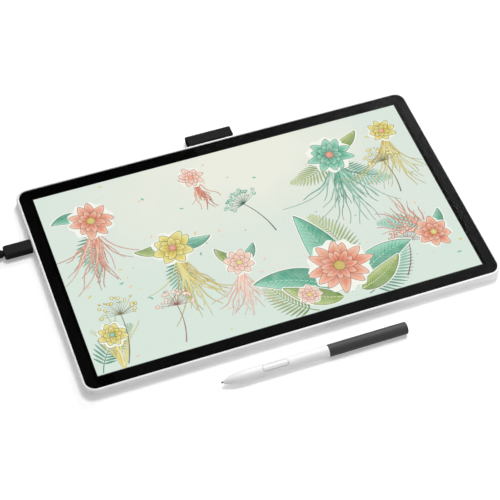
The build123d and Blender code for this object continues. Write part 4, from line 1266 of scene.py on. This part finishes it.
SEED_HEADS = (
    ((-130, -84), 1.15, 44, 19, MUSTARD), ((16, -4), 1.75, 36, 17, TEAL), ((124, 0), 1.35, 34, 16, MUSTARD),
    ((-84, -80), 1.2, 34, 15, BLUSH), ((96, -78), 0.9, 34, 15, CORAL))
LEAVES = (
    ((44, -74), 2.35, 68, 23, TEAL, 0.4), ((56, -74), 0.85, 62, 21, TEAL, -0.4),
    ((50, -78), 1.62, 84, 26, TEAL, 0.15), ((42, -80), 2.95, 46, 15, OLIVE, -0.3),
    ((58, -78), 0.2, 44, 14, OLIVE, 0.3), ((-62, 8), 5.9, 27, 10, TEAL, 0.4),
    ((-70, 10), 3.5, 25, 9, OLIVE, -0.4), ((132, -44), 0.6, 22, 9, TEAL, 0.4),
    ((-122, 56), 2.6, 26, 10, TEAL, 0.5), ((88, 58), 0.1, 28, 10, OLIVE, 0.4),
    ((-20, -24), 0.4, 20, 8, TEAL, 0.4), ((-24, -22), 2.6, 20, 8, OLIVE, -0.4))
BLOOMS = (
    ((-118, 52), 17.5, CORAL, MUSTARD, 10, 0.1), ((-66, 6), 16, MUSTARD, CORAL, 8, 0.3),
    ((84, 54), 18, TEAL, CORAL, 10, 0.2), ((132, -46), 14, CORAL, MUSTARD, 8, 0.5),
    ((50, -52), 24, CORAL, MUSTARD, 12, 0.0), ((-30, 68), 10, BLUSH, CORAL, 8, 0.2),
    ((-22, -24), 12, BLUSH, MUSTARD, 8, 0.4), ((-134, -56), 11, MUSTARD, TEAL, 8, 0.3),
    ((134, 64), 11, MUSTARD, CORAL, 8, 0.1), ((18, -70), 9, BLUSH, MUSTARD, 8, 0.6))


@dataclass
class Display(SubAssembly):
    """Case, glass, panel and boards, with the lit picture and the woven loop for the pen, in millimetres."""

    bodies: tuple[str, ...] = ("display", "power_key")
    picture_size: Spot = (309.4, 174.0)
    middle_y: float = PICTURE_Y
    picture_low: float = 8.706
    bloom_low: float = 8.805
    drift_count: int = 150
    leaf_seed: int = 11
    bloom_seed: int = 23
    leaf_step: float = 1.35
    leaf_limit: float = 8.1
    loop_middle: float = -1.0
    loop_width: float = 38.3
    loop_sheet: float = 1.1
    loop_end: float = 118.375
    loop_rear: float = 105.275
    loop_flare: float = 3.0
    loop_half: float = 3.15
    loop_neck: float = 0.85
    loop_z: float = 4.6
    rod_gap: float = 0.1

    def build_ground(self) -> None:
        """Lit ground of the picture: a flat grid the size of the panel's lit area."""
        columns, rows = 17, 11
        width, depth = self.picture_size
        x, y = np.meshgrid(np.linspace(-width / 2, width / 2, columns),
                           self.middle_y + np.linspace(-depth / 2, depth / 2, rows))
        points = np.stack([x.ravel(), y.ravel(), np.full(x.size, self.picture_low)], axis=1) * MM
        material = LitWash().material("picture_ground")
        ground = new_piece("picture_ground", points, quads(rows, columns).tolist(), material, smooth=False)
        self.add(ground, "display", "panel")

    def build_picture(self) -> None:
        """Drawing over the ground, in two pieces: the blooms lie over all other plants."""
        leaves = Garden(Sketch(), np.random.default_rng(self.leaf_seed))
        leaves.drift(self.drift_count)
        leaves.sketch.lift = LIFT_STEP
        leaves.plant(leaves.frond, FRONDS)
        leaves.plant(leaves.grass, GRASSES)
        leaves.plant(leaves.seed_head, SEED_HEADS)
        leaves.sketch.lift = 0.0
        leaves.plant(leaves.leaf, LEAVES, self.leaf_step, self.leaf_limit)
        blooms = Garden(Sketch(low=self.bloom_low, lift=LIFT_STEP), np.random.default_rng(self.bloom_seed))
        blooms.plant(blooms.bloom, BLOOMS)
        for garden, name in ((leaves, "picture_leaves"), (blooms, "picture_blooms")):
            self.add(garden.sketch.build(name), "display", "panel")

    def build_loop(self) -> None:
        """Woven loop: one band round the rod, out through the slot, then a wide bow and back.

        The path through the middle of the sheet is an arc round the rod, two straight sides in the slot, that
        flare apart as a half cosine behind it, two flat sides, and a half circle at the end.
        """
        bow_points, flat_points, flare_points, slot_points, root_points, edge_points = 17, 7, 13, 5, 15, 8
        rod_low, rod_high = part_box("loop_rod")
        rod_y = (rod_low.y + rod_high.y) / 2 / MM
        root = (rod_high.z - rod_low.z) / 2 / MM + self.rod_gap + self.loop_sheet / 2
        bow = self.loop_end - self.loop_sheet / 2
        flat_end = bow - self.loop_half
        flare_end = self.loop_rear + self.loop_flare
        arc = (flat_end, 0) + self.loop_half * directions(np.linspace(-math.pi / 2, math.pi / 2, bow_points))
        start = rod_y + math.sqrt(root ** 2 - self.loop_neck ** 2)
        y = np.concatenate([np.linspace(flat_end, flare_end, flat_points)[1:],
                            np.linspace(flare_end, self.loop_rear, flare_points)[1:],
                            np.linspace(self.loop_rear, start, slot_points)[1:]])
        share = np.clip((y - self.loop_rear) / self.loop_flare, 0, 1)
        side = self.loop_neck + (self.loop_half - self.loop_neck) * (1 - np.cos(np.pi * share)) / 2
        open_angle = math.asin(self.loop_neck / root)
        around = np.linspace(open_angle, math.tau - open_angle, root_points)[1:-1]
        back = (rod_y, 0) + root * directions(around)
        top = np.stack([y, side], axis=1)
        path = np.concatenate([arc, top, back, top[::-1] * (1, -1)])
        points, faces, uv = carried_band(path, self.loop_width, self.loop_sheet, edge_points)
        placed = points + (self.loop_middle, 0, self.loop_z)
        loop = woven_piece("pen_loop_band", placed, faces, uv, "webbing")
        self.add(loop, "display", "webbing", "pen_loop")

    def build(self) -> None:
        """Dresses the display's nodes and builds its new pieces."""
        self.dress_nodes()
        self.build_ground()
        self.build_picture()
        self.build_loop()


@dataclass
class Pen(SubAssembly):
    """Pen with a white front, a dark rear and a long side rocker."""

    bodies: tuple[str, ...] = ("pen", "pen_nib", "pen_rocker")

    def build(self) -> None:
        """Dresses the pen's nodes."""
        self.dress_nodes()


@dataclass(frozen=True)
class Lamp:
    """Square soft light that points at a place, and that only shows as a sheen where that is asked for."""

    name: str
    place: Point
    aim: Point
    size: float
    power: float
    sheen_only: bool = False

    def build(self) -> None:
        """Adds the light to the scene."""
        data = bpy.data.lights.new(self.name, "AREA")
        data.size = self.size
        data.energy = self.power
        light = linked(self.name, data)
        light.rotation_euler = (Vector(self.aim) - Vector(self.place)).to_track_quat("-Z", "Y").to_euler()
        light.location = self.place
        light.visible_diffuse = not self.sheen_only


@dataclass
class Studio:
    """White floor, plain soft light and the camera of the photograph, in metres."""

    camera_place: Point = (-0.2935503, -0.7095656, 1.0120826)
    camera_axes: tuple[Point, ...] = (
        (0.93822935, -0.34517259, 0.02411591), (0.26229248, 0.75494246, 0.60105286),
        (-0.22567309, -0.55760001, 0.79884535))
    camera_reach: Spot = (0.01, 50.0)
    lens: float = 116.859
    sensor: float = 36.0
    floor_half: float = 6.0
    floor_z: float = -0.0002
    floor_greys: Spot = (0.91, 0.93)
    floor_patch: float = 0.4
    glow_reach: Spot = (0.5, 2.0)
    glow: Spot = (0.24, 1.0)
    world_grey: float = 0.25
    lamps: tuple[Lamp, ...] = (
        Lamp("overhead", (0.32, 0.34, 1.66), (0.0, 0.0, 0.0), 0.6, 17.0),
        Lamp("right_fill", (0.42, -0.42, 0.22), (0.17, -0.1, 0.0), 0.2, 0.5),
        Lamp("rear_right", (0.85, 1.1, 1.15), (0.05, 0.05, 0.0), 0.36, 9.0),
        Lamp("front_fill", (-0.75, -1.2, 1.0), (0.0, 0.0, 0.0), 1.0, 0.9),
        Lamp("rear_right_sheen", (1.05, 1.1, 1.15), (0.05, 0.05, 0.0), 0.75, 60.0, sheen_only=True))

    def build_camera(self) -> None:
        """Camera at the photograph's place, heading and lens."""
        data = bpy.data.cameras.new("camera")
        data.lens = self.lens
        data.sensor_width = self.sensor
        data.clip_start, data.clip_end = self.camera_reach
        camera = linked("camera", data)
        matrix = Matrix(self.camera_axes).transposed().to_4x4()
        matrix.translation = self.camera_place
        camera.matrix_world = matrix
        bpy.context.scene.camera = camera

    def build_floor(self) -> None:
        """Pale floor that keeps the object's shadow, and whose glow makes it look white further out."""
        graph = Graph(bpy.data.materials.new("floor_white"))
        low, high = ((grey, grey, grey) for grey in self.floor_greys)
        paper = graph.add("BsdfDiffuse", {"Color": graph.patchy(graph.noise(self.floor_patch), low, high)})
        lift = graph.remap(graph.length(graph.place()), self.glow_reach, self.glow)
        strength = graph.times(graph.seen_share(), lift)
        glow = graph.add("Emission", {"Color": (1, 1, 1, 1), "Strength": strength})
        both = graph.add("AddShader", {0: paper.outputs["BSDF"], 1: glow.outputs["Emission"]})
        corners = np.array([(-1, -1, 0), (1, -1, 0), (1, 1, 0), (-1, 1, 0)]) * self.floor_half
        corners[:, 2] = self.floor_z
        floor = new_piece("floor", corners, [[0, 1, 2, 3]], graph.done(both.outputs["Shader"]), smooth=False)

    def build_world(self) -> None:
        """World that looks white and lights the object with a soft grey."""
        graph = Graph(bpy.data.worlds.new("studio"), "OutputWorld")
        level = graph.remap(graph.seen_share(), (0.0, 1.0), (self.world_grey, 1.0))
        back = graph.add("Background", {"Color": (1, 1, 1, 1), "Strength": level})
        bpy.context.scene.world = graph.done(back.outputs["Background"])

    def build(self) -> None:
        """Builds the camera, floor, world and lights, and sets the plain view transform."""
        self.build_camera()
        self.build_floor()
        self.build_world()
        for lamp in self.lamps:
            lamp.build()
        bpy.context.scene.view_settings.view_transform = "Standard"


def main() -> None:
    """Builds the studio and the object's pieces in order."""
    Studio().build()
    Lead().build()
    Display().build()
    Pen().build()


if __name__ == "__main__":
    main()
